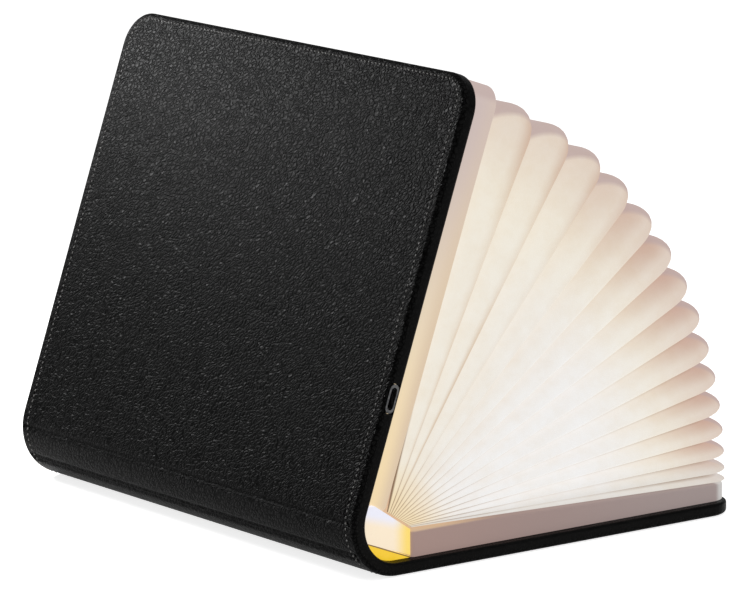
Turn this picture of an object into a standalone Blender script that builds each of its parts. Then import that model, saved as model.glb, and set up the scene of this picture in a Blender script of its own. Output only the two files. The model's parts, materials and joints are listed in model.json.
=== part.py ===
"""Folding book lamp: a hard cover book whose pages are one lit paper bellows.

Frame: +Z up, metres. The lamp lies on its back cover. The origin is the middle of that
cover's underside. The spine runs along Y, and the near end is at -Y.
Both covers turn about one axis along Y, at half the height of the shut book.
Every cover is modelled in its own frame: the axis at zero, X toward the fore edge,
and Z toward the pages. The front cover's frame is the back one's, turned over.
"""

import math

import bmesh
import bpy
import numpy as np
from mathutils import Matrix, Vector

MM = 0.001

# The shut book and how far it stands open at rest
SPINE_LENGTH = 210.0 * MM
SHUT_HEIGHT = 31.0 * MM
FORE_EDGE_REACH = 163.5 * MM
REST_OPENING = math.radians(70.7)

# Covers
COVER_THICKNESS = 5.3 * MM
COVER_START = 10.0 * MM
COVER_CORNER_RADIUS = 11.0 * MM
COVER_EDGE_ROUND = 0.9 * MM
LEATHER_THICKNESS = 1.2 * MM
BOARD_THICKNESS = 2.4 * MM
SEAT_GAP = 0.3 * MM

# Spine
SPINE_RADIUS = 20.0 * MM
SPINE_LEATHER_THICKNESS = 1.6 * MM
SPINE_FILLER_THICKNESS = 1.8 * MM
GROOVE_DEPTH = 0.55 * MM
GROOVE_WIDTH = 0.9 * MM
GROOVE_FIRST_ARC = 5.9 * MM
GROOVE_SECOND_ARC = 18.1 * MM

# Page walls, the stiff ends of the paper block
WALL_START = 14.1 * MM
WALL_FORE_INSET = 1.0 * MM
WALL_END_INSET = 4.0 * MM
WALL_CORNER_RADIUS = 7.5 * MM
WALL_SKIN = 1.2 * MM
WALL_EDGE_ROUND = 0.7 * MM
WALL_ROOT_CLEARANCE = 0.15 * MM
BACK_WALL_FORE_HEIGHT = 5.8 * MM
FRONT_WALL_FORE_HEIGHT = 11.3 * MM
FRONT_WALL_ROOT_SLANT = 4.0 * MM

# Paper bellows between the page walls
FOLD_COUNT = 15
FOLD_SAG_POWER = 1.6
FOLD_DEPTH = 8.5 * MM
FOLD_WALL = 0.4 * MM
FOLD_GAP = 0.35 * MM
FOLD_CORNER_RADIUS = 8.5 * MM
FOLD_FORE_RECESS = 5.5 * MM
FOLD_ROOT_DEPTH_SHARE = 0.6
FOLD_LEAST_POCKET_SHARE = 0.25
FOLD_STEPS_ACROSS = 6
FOLD_STEPS_ALONG_END = 5
FOLD_STEPS_ROUND_CORNER = 4
FOLD_STEPS_ALONG_FORE = 3

# Light core in the spine
CORE_FRONT_HEIGHT = 9.3 * MM
CORE_CREST_REACH = 0.4 * MM
CORE_SEAM_DROP = 3.1 * MM
CORE_SKIN = 1.6 * MM
CORE_END_INSET = 4.0 * MM
CORE_CAP_THICKNESS = 1.8 * MM
CARRIER_WIDTH = 9.0 * MM
CARRIER_THICKNESS = 2.2 * MM
LED_BOARD_WIDTH = 7.0 * MM
LED_BOARD_THICKNESS = 1.0 * MM
LED_STRIP_WIDTH = 3.0 * MM
LED_STRIP_THICKNESS = 0.9 * MM
LED_END_MARGIN = 6.0 * MM

# Charging port in the front cover's near edge
PORT_REACH = 47.1 * MM
PORT_LENGTH = 8.9 * MM
PORT_HEIGHT = 3.2 * MM
PORT_DEPTH = 7.3 * MM
PORT_SHELL_WALL = 0.35 * MM
PORT_BACK_WALL = 0.8 * MM
PORT_TONGUE_LENGTH = 6.0 * MM
PORT_TONGUE_HEIGHT = 0.7 * MM
PORT_TONGUE_REACH = 5.4 * MM
BEZEL_WIDTH = 0.8 * MM
BEZEL_DEPTH = 1.1 * MM
CHARGE_BOARD_LENGTH = 22.0 * MM
CHARGE_BOARD_WIDTH = 16.0 * MM
CHARGE_BOARD_THICKNESS = 0.8 * MM
CHARGE_CHIP_SIZE = 4.0 * MM
CHARGE_CHIP_HEIGHT = 0.9 * MM
LID_SENSOR_LENGTH = 4.0 * MM
LID_SENSOR_WIDTH = 3.0 * MM
LID_SENSOR_HEIGHT = 1.4 * MM
NOTCH_MARGIN = 1.0 * MM

# Pieces inside the page walls
BATTERY_LENGTH = 84.0 * MM
BATTERY_WIDTH = 62.0 * MM
BATTERY_HEIGHT = 4.2 * MM
BATTERY_ROUND = 1.4 * MM
BATTERY_REACH = 76.0 * MM
BATTERY_SPACE_BETWEEN = 10.0 * MM
MAGNET_RADIUS = 5.0 * MM
MAGNET_HEIGHT = 2.5 * MM
MAGNET_FORE_INSET = 14.5 * MM
MAGNET_END_INSET = 21.0 * MM

CUT_OVERRUN = 2.0 * MM
MERGE_DISTANCE = 0.01 * MM
ARC_STEPS = 6
BEVEL_STEPS = 2

HALF_SHUT = SHUT_HEIGHT / 2
HALF_SPINE = SPINE_LENGTH / 2
INNER_LEVEL = COVER_THICKNESS - HALF_SHUT
ORIGIN_REACH = (COVER_START + FORE_EDGE_REACH) / 2
WALL_END = FORE_EDGE_REACH - WALL_FORE_INSET
HALF_WALL = HALF_SPINE - WALL_END_INSET
LINER_THICKNESS = COVER_THICKNESS - LEATHER_THICKNESS - BOARD_THICKNESS - 2 * SEAT_GAP


class Finish:
    """A named surface: colour, roughness, metal share and, for lit paper, a glow."""

    def __init__(self, name, colour, roughness, metallic=0.0, glow=0.0):
        self.material = bpy.data.materials.new(name)
        self.material.use_nodes = True
        shader = self.material.node_tree.nodes["Principled BSDF"]
        shader.inputs["Base Color"].default_value = (*colour, 1.0)
        shader.inputs["Roughness"].default_value = roughness
        shader.inputs["Metallic"].default_value = metallic
        shader.inputs["Emission Color"].default_value = (*colour, 1.0)
        shader.inputs["Emission Strength"].default_value = glow
        self.material.diffuse_color = (*colour, 1.0)


def clear_scene():
    """Remove every object, so that the model starts from an empty scene."""
    for old in list(bpy.data.objects):
        bpy.data.objects.remove(old, do_unlink=True)


def new_collection(name):
    """Return a new collection linked to the scene."""
    made = bpy.data.collections.new(name)
    bpy.context.scene.collection.children.link(made)
    return made


def arc(centre, radius, start, end, steps):
    """Return points along a circle from one angle to another, both ends included."""
    turns = [start + (end - start) * i / steps for i in range(steps + 1)]
    return [(centre[0] + radius * math.cos(a), centre[1] + radius * math.sin(a)) for a in turns]


def plate_outline(start, end, half_width, corner):
    """Return a plate's outline: square at the spine, round at the fore edge."""
    low = arc((end - corner, corner - half_width), corner, -math.pi / 2, 0, ARC_STEPS)
    high = arc((end - corner, half_width - corner), corner, 0, math.pi / 2, ARC_STEPS)
    return [(start, -half_width), *low, *high, (start, half_width)]


def box_outline(centre, length, width):
    """Return a rectangle's outline about a centre."""
    x, y = centre
    return [
        (x - length / 2, y - width / 2),
        (x + length / 2, y - width / 2),
        (x + length / 2, y + width / 2),
        (x - length / 2, y + width / 2),
    ]


def slot_outline(centre, length, width, steps=ARC_STEPS):
    """Return a slot with full round ends, long along X."""
    x, y = centre
    radius = width / 2
    reach = length / 2 - radius
    right = arc((x + reach, y), radius, -math.pi / 2, math.pi / 2, steps)
    left = arc((x - reach, y), radius, math.pi / 2, 3 * math.pi / 2, steps)
    return right + left


def inset_outline(points, distance):
    """Move each side of a convex outline inward and return where the sides meet."""
    moved = []
    count = len(points)
    for i in range(count):
        sides = []
        for a, b in ((points[i - 1], points[i]), (points[i], points[(i + 1) % count])):
            along = Vector((b[0] - a[0], b[1] - a[1])).normalized()
            inward = Vector((-along.y, along.x))
            sides.append((Vector(a) + inward * distance, along))
        (first, d1), (second, d2) = sides
        cross = d1.x * d2.y - d1.y * d2.x
        gap = second - first
        moved.append(first + d1 * ((gap.x * d2.y - gap.y * d2.x) / cross))
    return [(p.x, p.y) for p in moved]


def flat_solid(name, outline, low, high, holes=()):
    """Extrude an outline, with any holes, from one level to another along local Z."""
    curve = bpy.data.curves.new(name, "CURVE")
    curve.dimensions = "2D"
    curve.fill_mode = "BOTH"
    curve.extrude = (high - low) / 2
    for ring in (outline, *holes):
        spline = curve.splines.new("POLY")
        spline.points.add(len(ring) - 1)
        for point, (x, y) in zip(spline.points, ring):
            point.co = (x, y, 0, 1)
        spline.use_cyclic_u = True
    drawn = bpy.data.objects.new(name, curve)
    bpy.context.scene.collection.objects.link(drawn)
    bpy.context.view_layer.update()
    evaluated = drawn.evaluated_get(bpy.context.evaluated_depsgraph_get())
    mesh = bpy.data.meshes.new_from_object(evaluated)
    bpy.data.objects.remove(drawn, do_unlink=True)
    mesh.name = name
    work = bmesh.new()
    work.from_mesh(mesh)
    bmesh.ops.remove_doubles(work, verts=work.verts, dist=MERGE_DISTANCE)
    bmesh.ops.translate(work, verts=work.verts, vec=(0, 0, (low + high) / 2))
    bmesh.ops.recalc_face_normals(work, faces=work.faces)
    work.to_mesh(mesh)
    work.free()
    return bpy.data.objects.new(name, mesh)


def section_solid(name, outline, half_length, centre=0.0, holes=()):
    """Extrude an outline in X and Z along Y, about a centre on Y."""
    made = flat_solid(name, outline, -half_length, half_length, holes)
    stand = Matrix.Translation((0, centre, 0)) @ Matrix.Rotation(math.pi / 2, 4, "X")
    made.data.transform(stand)
    return made


class Builder:
    """Puts finished pieces into the lamp's collection, and cutters into another."""

    def __init__(self):
        self.parts = new_collection("folding_book_lamp")
        self.cutters = new_collection("cutters")

    def frame(self, name, turn):
        """Return an empty on the fold axis with a cover's rotation."""
        empty = bpy.data.objects.new(name, None)
        empty.location = (-ORIGIN_REACH, 0, HALF_SHUT)
        empty.rotation_euler = turn.to_euler()
        empty.empty_display_size = COVER_START
        self.parts.objects.link(empty)
        return empty

    def piece(self, made, finish, frame, smooth=True):
        """Give a piece its finish and hang it on a frame."""
        made.data.materials.append(finish.material)
        made.parent = frame
        if smooth:
            made.data.shade_smooth()
            made.data.set_sharp_from_angle(angle=math.radians(30))
        self.parts.objects.link(made)
        return made

    def cut(self, made, cutter):
        """Subtract a cutter that stays in the cutters' collection."""
        cutter.hide_render = True
        cutter.display_type = "WIRE"
        cutter.parent = made.parent
        self.cutters.objects.link(cutter)
        boolean = made.modifiers.new("cut_" + cutter.name, "BOOLEAN")
        boolean.operation = "DIFFERENCE"
        boolean.object = cutter

    def round_edges(self, made, width, steps=BEVEL_STEPS):
        """Round a piece's sharp edges."""
        bevel = made.modifiers.new("round", "BEVEL")
        bevel.width = width
        bevel.segments = steps
        bevel.limit_method = "ANGLE"
        bevel.angle_limit = math.radians(40)
        bevel.harden_normals = False


def cover(build, side, frame, finishes):
    """Build one cover: a leather tray, the board in it and the liner over the board."""
    outer = -HALF_SHUT
    leather = flat_solid(
        side + "_cover_leather",
        plate_outline(COVER_START, FORE_EDGE_REACH, HALF_SPINE, COVER_CORNER_RADIUS),
        outer,
        INNER_LEVEL,
    )
    build.piece(leather, finishes["leather"], frame)
    build.round_edges(leather, COVER_EDGE_ROUND)
    rim = LEATHER_THICKNESS
    pocket = plate_outline(
        COVER_START + rim, FORE_EDGE_REACH - rim, HALF_SPINE - rim, COVER_CORNER_RADIUS - rim
    )
    build.cut(
        leather,
        flat_solid(side + "_cover_pocket", pocket, outer + rim, INNER_LEVEL + CUT_OVERRUN),
    )
    inset = LEATHER_THICKNESS + SEAT_GAP
    inner = plate_outline(
        COVER_START + inset,
        FORE_EDGE_REACH - inset,
        HALF_SPINE - inset,
        COVER_CORNER_RADIUS - inset,
    )
    board_low = outer + LEATHER_THICKNESS + SEAT_GAP
    board_high = board_low + BOARD_THICKNESS
    board = flat_solid(side + "_cover_board", inner, board_low, board_high)
    build.piece(board, finishes["board"], frame)
    liner_low = board_high + SEAT_GAP
    liner = flat_solid(side + "_cover_liner", inner, liner_low, liner_low + LINER_THICKNESS)
    build.piece(liner, finishes["liner"], frame)
    return leather, board, liner


def wedge(name, outline, low, root, root_top, fore, fore_top):
    """Extrude an outline, then tilt its top to fall from the root to the fore edge."""
    made = flat_solid(name, outline, low, max(root_top, fore_top))
    middle = (low + max(root_top, fore_top)) / 2
    for vertex in made.data.vertices:
        if vertex.co.z > middle:
            along = (vertex.co.x - root) / (fore - root)
            vertex.co.z = root_top + (fore_top - root_top) * along
    return made


def slant_root(made, root, slant, low, top):
    """Lean the spine side of a wedge, so that its foot reaches nearer the spine."""
    for vertex in made.data.vertices:
        if vertex.co.x < root + MERGE_DISTANCE:
            vertex.co.x -= slant * (top - vertex.co.z) / (top - low)


def page_wall(build, side, frame, finish, fore_height, slant):
    """Build a page wall: a hollow wedge, open to the cover that carries it."""
    low = INNER_LEVEL + SEAT_GAP
    root_top = -WALL_ROOT_CLEARANCE
    fore_top = INNER_LEVEL + fore_height
    wall = wedge(
        side + "_page_wall",
        plate_outline(WALL_START, WALL_END, HALF_WALL, WALL_CORNER_RADIUS),
        low,
        WALL_START,
        root_top,
        WALL_END,
        fore_top,
    )
    slant_root(wall, WALL_START, slant, low, root_top)
    build.piece(wall, finish, frame)
    build.round_edges(wall, WALL_EDGE_ROUND)
    skin = WALL_SKIN
    hollow = wedge(
        side + "_page_wall_hollow",
        plate_outline(
            WALL_START + skin, WALL_END - skin, HALF_WALL - skin, WALL_CORNER_RADIUS - skin
        ),
        low - CUT_OVERRUN,
        WALL_START,
        root_top - skin,
        WALL_END,
        fore_top - skin,
    )
    build.cut(wall, hollow)
    return wall


def magnets(build, side, frame, finish):
    """Place the two closing magnets on a cover's liner, inside its page wall."""
    for end, sign in (("near", -1), ("far", 1)):
        bpy.ops.mesh.primitive_cylinder_add(
            vertices=24, radius=MAGNET_RADIUS, depth=MAGNET_HEIGHT
        )
        disc = bpy.context.active_object
        disc.name = f"{side}_magnet_{end}"
        for holder in list(disc.users_collection):
            holder.objects.unlink(disc)
        reach, spread = WALL_END - MAGNET_FORE_INSET, HALF_WALL - MAGNET_END_INSET
        level = INNER_LEVEL + SEAT_GAP + MAGNET_HEIGHT / 2
        disc.data.transform(Matrix.Translation((reach, sign * spread, level)))
        build.piece(disc, finish, frame)


def batteries(build, frame, finish):
    """Place the two flat cells on the back liner, inside the back page wall."""
    low = INNER_LEVEL + SEAT_GAP
    for end, sign in (("near", -1), ("far", 1)):
        middle = sign * (BATTERY_LENGTH + BATTERY_SPACE_BETWEEN) / 2
        outline = box_outline((BATTERY_REACH, middle), BATTERY_WIDTH, BATTERY_LENGTH)
        cell = flat_solid("battery_" + end, outline, low, low + BATTERY_HEIGHT)
        build.piece(cell, finish, frame)
        build.round_edges(cell, BATTERY_ROUND)


def spine_band(name, rest, outer, thickness, grooved):
    """Return a U band round the spine, from the front cover's start to the back one's.

    The band is straight along each cover and round between, tangent to both. A groove is
    a dip of the outer radius that fades with the square of the distance along the arc.
    """
    centre_reach = (SPINE_RADIUS - HALF_SHUT) / math.tan(rest / 2)
    centre = (centre_reach, SPINE_RADIUS - HALF_SHUT)
    start = COVER_START - SEAT_GAP
    sweep = math.pi - rest
    steps = 40 if grooved else 16
    outside, inside = [], []
    for i in range(steps + 1):
        turned = sweep * i / steps
        dip = 0.0
        if grooved:
            along = turned * SPINE_RADIUS
            back_along = (sweep - turned) * SPINE_RADIUS
            for place in (GROOVE_FIRST_ARC, GROOVE_SECOND_ARC):
                for distance in (along - place, back_along - place):
                    dip = max(dip, GROOVE_DEPTH * math.exp(-((distance / GROOVE_WIDTH) ** 2)))
        angle = rest + math.pi / 2 + turned
        for side, radius in ((outside, outer - dip), (inside, outer - thickness)):
            side.append(
                (centre[0] + radius * math.cos(angle), centre[1] + radius * math.sin(angle))
            )
    shift = SPINE_RADIUS - outer

    def on_front(reach, level):
        along = (reach * math.cos(rest), reach * math.sin(rest))
        return (along[0] - level * math.sin(rest), along[1] + level * math.cos(rest))

    high = HALF_SHUT - shift
    outside = [on_front(start, high), *outside, (start, -high)]
    low = high - thickness
    inside = [on_front(start, low), *inside, (start, -low)]
    return section_solid(name, outside + inside[::-1], HALF_SPINE)


def spine(build, frame, finishes):
    """Build the spine: leather outside, a soft filler and the lining inside."""
    layer = SPINE_RADIUS
    leather = spine_band("spine_leather", REST_OPENING, layer, SPINE_LEATHER_THICKNESS, True)
    build.piece(leather, finishes["leather"], frame)
    layer -= SPINE_LEATHER_THICKNESS + SEAT_GAP
    filler = spine_band("spine_filler", REST_OPENING, layer, SPINE_FILLER_THICKNESS, False)
    build.piece(filler, finishes["board"], frame)
    layer -= SPINE_FILLER_THICKNESS + SEAT_GAP
    lining_thickness = layer - (SPINE_RADIUS - COVER_THICKNESS)
    lining = spine_band("spine_lining", REST_OPENING, layer, lining_thickness, False)
    build.piece(lining, finishes["liner"], frame)


def core_outlines():
    """Return the light core's outline and, below its seam, the base's outline, in X and Z."""
    centre_reach = (SPINE_RADIUS - HALF_SHUT) / math.tan(REST_OPENING / 2)
    centre = (centre_reach, SPINE_RADIUS - HALF_SHUT)
    radius = SPINE_RADIUS - COVER_THICKNESS - SEAT_GAP
    heel = (WALL_START - SEAT_GAP, INNER_LEVEL + SEAT_GAP)
    toe = (WALL_START - SEAT_GAP, -WALL_ROOT_CLEARANCE)
    crest = (-CORE_CREST_REACH, CORE_FRONT_HEIGHT)
    first = math.pi - math.asin((CORE_FRONT_HEIGHT - centre[1]) / radius)
    seam = math.pi + math.asin((centre[1] + CORE_SEAM_DROP) / radius)
    core_arc = arc(centre, radius, first, seam, ARC_STEPS)
    seam_gap = SEAT_GAP / radius
    low_arc = arc(centre, radius, seam + 2 * seam_gap, 3 * math.pi / 2, ARC_STEPS)
    lift = (core_arc[-1][1] - heel[1]) / (heel[0] - core_arc[-1][0])
    core_heel = (heel[0], heel[1] + SEAT_GAP)
    base_tip = (heel[0] - SEAT_GAP / lift, heel[1])
    return [core_heel, toe, crest, *core_arc], [*low_arc, base_tip]


def light_core(build, frame, finishes):
    """Build the core: a clear sleeve with two caps, and the light strip inside it."""
    outline, base = core_outlines()
    half = HALF_SPINE - CORE_END_INSET - CORE_CAP_THICKNESS - SEAT_GAP
    hollow = inset_outline(outline, CORE_SKIN)
    sleeve = section_solid("core_sleeve", outline, half, holes=(hollow,))
    build.piece(sleeve, finishes["diffuser"], frame)
    for end, sign in (("near", -1), ("far", 1)):
        middle = sign * (half + SEAT_GAP + CORE_CAP_THICKNESS / 2)
        cap = section_solid("core_cap_" + end, outline, CORE_CAP_THICKNESS / 2, middle)
        build.piece(cap, finishes["diffuser"], frame)
    wedge_base = section_solid("core_base", base, half)
    build.piece(wedge_base, finishes["liner"], frame)

    floor_start, floor_end = Vector(hollow[-1]), Vector(hollow[0])
    floor = (floor_end - floor_start).normalized()
    rise = Vector((-floor.y, floor.x))
    middle = (floor_start + floor_end) / 2
    level = SEAT_GAP
    layers = (
        ("led_carrier", CARRIER_WIDTH, CARRIER_THICKNESS, "metal"),
        ("led_board", LED_BOARD_WIDTH, LED_BOARD_THICKNESS, "circuit"),
        ("led_strip", LED_STRIP_WIDTH, LED_STRIP_THICKNESS, "light"),
    )
    for name, width, thickness, finish in layers:
        low, high = middle + rise * level, middle + rise * (level + thickness)
        reach = floor * (width / 2)
        corners = [low - reach, low + reach, high + reach, high - reach]
        bar = section_solid(name, [(c.x, c.y) for c in corners], half - LED_END_MARGIN)
        build.piece(bar, finishes[finish], frame)
        level += thickness + SEAT_GAP


def charge_port(build, frame, finishes, leather, board, liner, wall):
    """Build the charging port in the front cover's near edge, with its circuit board."""
    near = HALF_SPINE
    outer = -HALF_SHUT
    low = outer + LEATHER_THICKNESS + SEAT_GAP
    middle = (PORT_REACH, low + PORT_HEIGHT / 2)
    face = near - SEAT_GAP

    def end_solid(name, outline, start, end, holes=()):
        made = flat_solid(name, outline, start, end, holes)
        made.data.transform(Matrix.Rotation(math.pi / 2, 4, "X"))
        made.data.transform(Matrix.Scale(-1, 4, (0, 1, 0)))
        made.data.flip_normals()
        return made

    shell_back = face - BEZEL_DEPTH - PORT_DEPTH
    shell_outline = slot_outline(middle, PORT_LENGTH, PORT_HEIGHT)
    bore = slot_outline(
        middle, PORT_LENGTH - 2 * PORT_SHELL_WALL, PORT_HEIGHT - 2 * PORT_SHELL_WALL
    )
    shell_front = face - BEZEL_DEPTH - SEAT_GAP
    shell = end_solid("usb_shell", shell_outline, shell_back, shell_front)
    build.piece(shell, finishes["metal"], frame)
    build.cut(
        shell,
        end_solid("usb_bore", bore, shell_back + PORT_BACK_WALL, shell_front + CUT_OVERRUN),
    )
    tongue_start = shell_back + PORT_BACK_WALL + SEAT_GAP
    tongue = end_solid(
        "usb_tongue",
        box_outline(middle, PORT_TONGUE_LENGTH, PORT_TONGUE_HEIGHT),
        tongue_start,
        tongue_start + PORT_TONGUE_REACH,
    )
    build.piece(tongue, finishes["black_plastic"], frame)
    bezel_height = PORT_HEIGHT + 2 * PORT_SHELL_WALL
    bezel = end_solid(
        "port_bezel",
        slot_outline(middle, PORT_LENGTH + 2 * BEZEL_WIDTH, bezel_height),
        face - BEZEL_DEPTH,
        face,
        (bore,),
    )
    build.piece(bezel, finishes["bezel"], frame)
    clear = SEAT_GAP
    opening = end_solid(
        "port_opening",
        slot_outline(
            middle, PORT_LENGTH + 2 * BEZEL_WIDTH + 2 * clear, bezel_height + 2 * clear
        ),
        face - LEATHER_THICKNESS - CUT_OVERRUN,
        near + CUT_OVERRUN,
    )
    build.cut(leather, opening)

    board_start = near - WALL_END_INSET - WALL_SKIN - SEAT_GAP
    deck = low + PORT_HEIGHT + SEAT_GAP
    plan_centre = (PORT_REACH, board_start - CHARGE_BOARD_WIDTH / 2)
    plan = box_outline(plan_centre, CHARGE_BOARD_LENGTH, CHARGE_BOARD_WIDTH)
    circuit = flat_solid("charge_board", plan, deck, deck + CHARGE_BOARD_THICKNESS)
    build.piece(circuit, finishes["circuit"], frame)
    top = deck + CHARGE_BOARD_THICKNESS + SEAT_GAP
    chip = flat_solid(
        "charge_chip",
        box_outline(plan_centre, CHARGE_CHIP_SIZE, CHARGE_CHIP_SIZE),
        top,
        top + CHARGE_CHIP_HEIGHT,
    )
    build.piece(chip, finishes["black_plastic"], frame)
    sensor_place = (
        PORT_REACH + (CHARGE_BOARD_LENGTH + CHARGE_CHIP_SIZE) / 4,
        plan_centre[1],
    )
    sensor = flat_solid(
        "lid_sensor",
        box_outline(sensor_place, LID_SENSOR_WIDTH, LID_SENSOR_LENGTH),
        top,
        top + LID_SENSOR_HEIGHT,
    )
    build.piece(sensor, finishes["black_plastic"], frame)

    notch_length = PORT_LENGTH + 2 * BEZEL_WIDTH + 2 * NOTCH_MARGIN
    board_notch = flat_solid(
        "port_board_notch",
        box_outline(
            (PORT_REACH, (shell_back + near) / 2 - NOTCH_MARGIN / 2),
            notch_length,
            near - shell_back + NOTCH_MARGIN,
        ),
        outer,
        INNER_LEVEL + CUT_OVERRUN,
    )
    build.cut(board, board_notch)
    liner_reach = near - board_start + CHARGE_BOARD_WIDTH + NOTCH_MARGIN
    liner_notch = flat_solid(
        "port_liner_notch",
        box_outline(
            (PORT_REACH, near - liner_reach / 2),
            CHARGE_BOARD_LENGTH + 2 * NOTCH_MARGIN,
            liner_reach,
        ),
        outer,
        INNER_LEVEL + CUT_OVERRUN,
    )
    build.cut(liner, liner_notch)


def fold_root(place):
    """Return where a fold line starts, on the straight top of the light core.

    The first line starts over the back wall's root. The last one starts where the core's
    top meets the plane of the front page wall, less its clearance.
    """
    outline, _ = core_outlines()
    toe, crest = Vector(outline[1]), Vector(outline[2])
    top = (crest - toe).normalized()
    lift = Vector((top.y, -top.x)) * (SEAT_GAP + FOLD_WALL)
    outward = Vector((-math.sin(REST_OPENING), math.cos(REST_OPENING)))
    start = toe + lift + top * FOLD_GAP
    run = -(FOLD_GAP + FOLD_WALL + start.dot(outward)) / top.dot(outward)
    return start + top * (run * place / FOLD_COUNT)


def fold_tip(place):
    """Return where a fold line ends at the fore edge.

    The folds sag: the angle from the back wall grows with a power of the fold's number.
    """
    back = -math.atan2(-INNER_LEVEL - BACK_WALL_FORE_HEIGHT - FOLD_GAP, WALL_END)
    front = REST_OPENING + math.atan2(
        -INNER_LEVEL - FRONT_WALL_FORE_HEIGHT - FOLD_GAP, WALL_END
    )
    share = (place / FOLD_COUNT) ** FOLD_SAG_POWER
    angle = back + (front - back) * share
    radius = WALL_END - FOLD_FORE_RECESS * share
    return Vector((math.cos(angle), math.sin(angle))) * radius


def fold_point(number, across, along_q, along_y, inset):
    """Return a point of a fold's skin.

    across runs 0 to 1 over the fold. along_q and along_y say where the point is on the
    fold's three-sided rim, as shares and corner terms. inset draws the point inward.
    """
    root_width = (fold_root(number + 1) - fold_root(number)).length
    tip_width = (fold_tip(number + 1) - fold_tip(number)).length
    share, corner_q = along_q
    side, corner_y = along_y
    width = root_width + (tip_width - root_width) * share
    margin = FOLD_GAP / 2 / width
    reach_across, pocket = across
    if pocket:
        kept = max(1 - 2 * (FOLD_WALL + FOLD_GAP / 2) / width, FOLD_LEAST_POCKET_SHARE)
        kept *= 1 - 2 * margin
        place = number + 0.5 + (reach_across - 0.5) * kept
    else:
        place = number + margin + reach_across * (1 - 2 * margin)
    root, tip = fold_root(place), fold_tip(place)
    length = (tip - root).length
    drawn = inset * (FOLD_ROOT_DEPTH_SHARE + (1 - FOLD_ROOT_DEPTH_SHARE) * share)
    run = length - FOLD_CORNER_RADIUS - inset
    reach = run * share + FOLD_CORNER_RADIUS * corner_q
    half = HALF_WALL - drawn - FOLD_CORNER_RADIUS
    level = half * side + FOLD_CORNER_RADIUS * corner_y
    spot = root + (tip - root).normalized() * reach
    return (spot.x, level, spot.y)


def rim_stations():
    """Return the stations along a fold's rim: near end, corner, fore edge, corner, far end."""
    near = [((i / FOLD_STEPS_ALONG_END, 0), (-1, -1)) for i in range(FOLD_STEPS_ALONG_END)]
    corner = []
    for i in range(FOLD_STEPS_ROUND_CORNER + 1):
        angle = math.pi / 2 * i / FOLD_STEPS_ROUND_CORNER
        corner.append(((1, math.sin(angle)), (-1, -math.cos(angle))))
    fore = []
    for i in range(1, FOLD_STEPS_ALONG_FORE):
        fore.append(((1, 1), (2 * i / FOLD_STEPS_ALONG_FORE - 1, 0)))
    mirrored = [(q, (-side, -turn)) for q, (side, turn) in reversed(near + corner)]
    return near + corner + fore + mirrored


def page_fold(build, number, frame, finish):
    """Build one fold of the paper bellows, a thin pocket that opens toward the core.

    The outside is a sharp-valleyed lobe: its inset is the fold depth times one minus the
    height of a half circle over the fold's width. The inside follows it one wall deeper.
    """
    stations = rim_stations()
    steps = FOLD_STEPS_ACROSS
    outer, inner = [], []
    for q, y in stations:
        for i in range(steps + 1):
            across = (1 - math.cos(math.pi * i / steps)) / 2
            arch = math.sqrt(max(0.0, 1 - (2 * across - 1) ** 2))
            inset = FOLD_DEPTH * (1 - arch)
            outer.append(fold_point(number, (across, False), q, y, inset))
            inner.append(fold_point(number, (across, True), q, y, inset + FOLD_WALL))
    rows, columns = len(stations), steps + 1
    index = np.arange(rows * columns).reshape(rows, columns)
    a, b = index[:-1, :-1].ravel(), index[:-1, 1:].ravel()
    c, d = index[1:, 1:].ravel(), index[1:, :-1].ravel()
    shift = rows * columns
    faces = np.column_stack((a, b, c, d)).tolist()
    faces += (np.column_stack((d, c, b, a)) + shift).tolist()
    rim = [*index[0, :], *index[1:, -1], *index[-1, -2::-1], *index[-2:0:-1, 0]]
    for first, second in zip(rim, rim[1:] + rim[:1]):
        faces.append([int(second), int(first), int(first) + shift, int(second) + shift])
    mesh = bpy.data.meshes.new(f"page_fold_{number + 1:02d}")
    mesh.from_pydata(outer + inner, [], faces)
    work = bmesh.new()
    work.from_mesh(mesh)
    bmesh.ops.recalc_face_normals(work, faces=work.faces)
    work.to_mesh(mesh)
    work.free()
    made = bpy.data.objects.new(mesh.name, mesh)
    build.piece(made, finish, frame)


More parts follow.
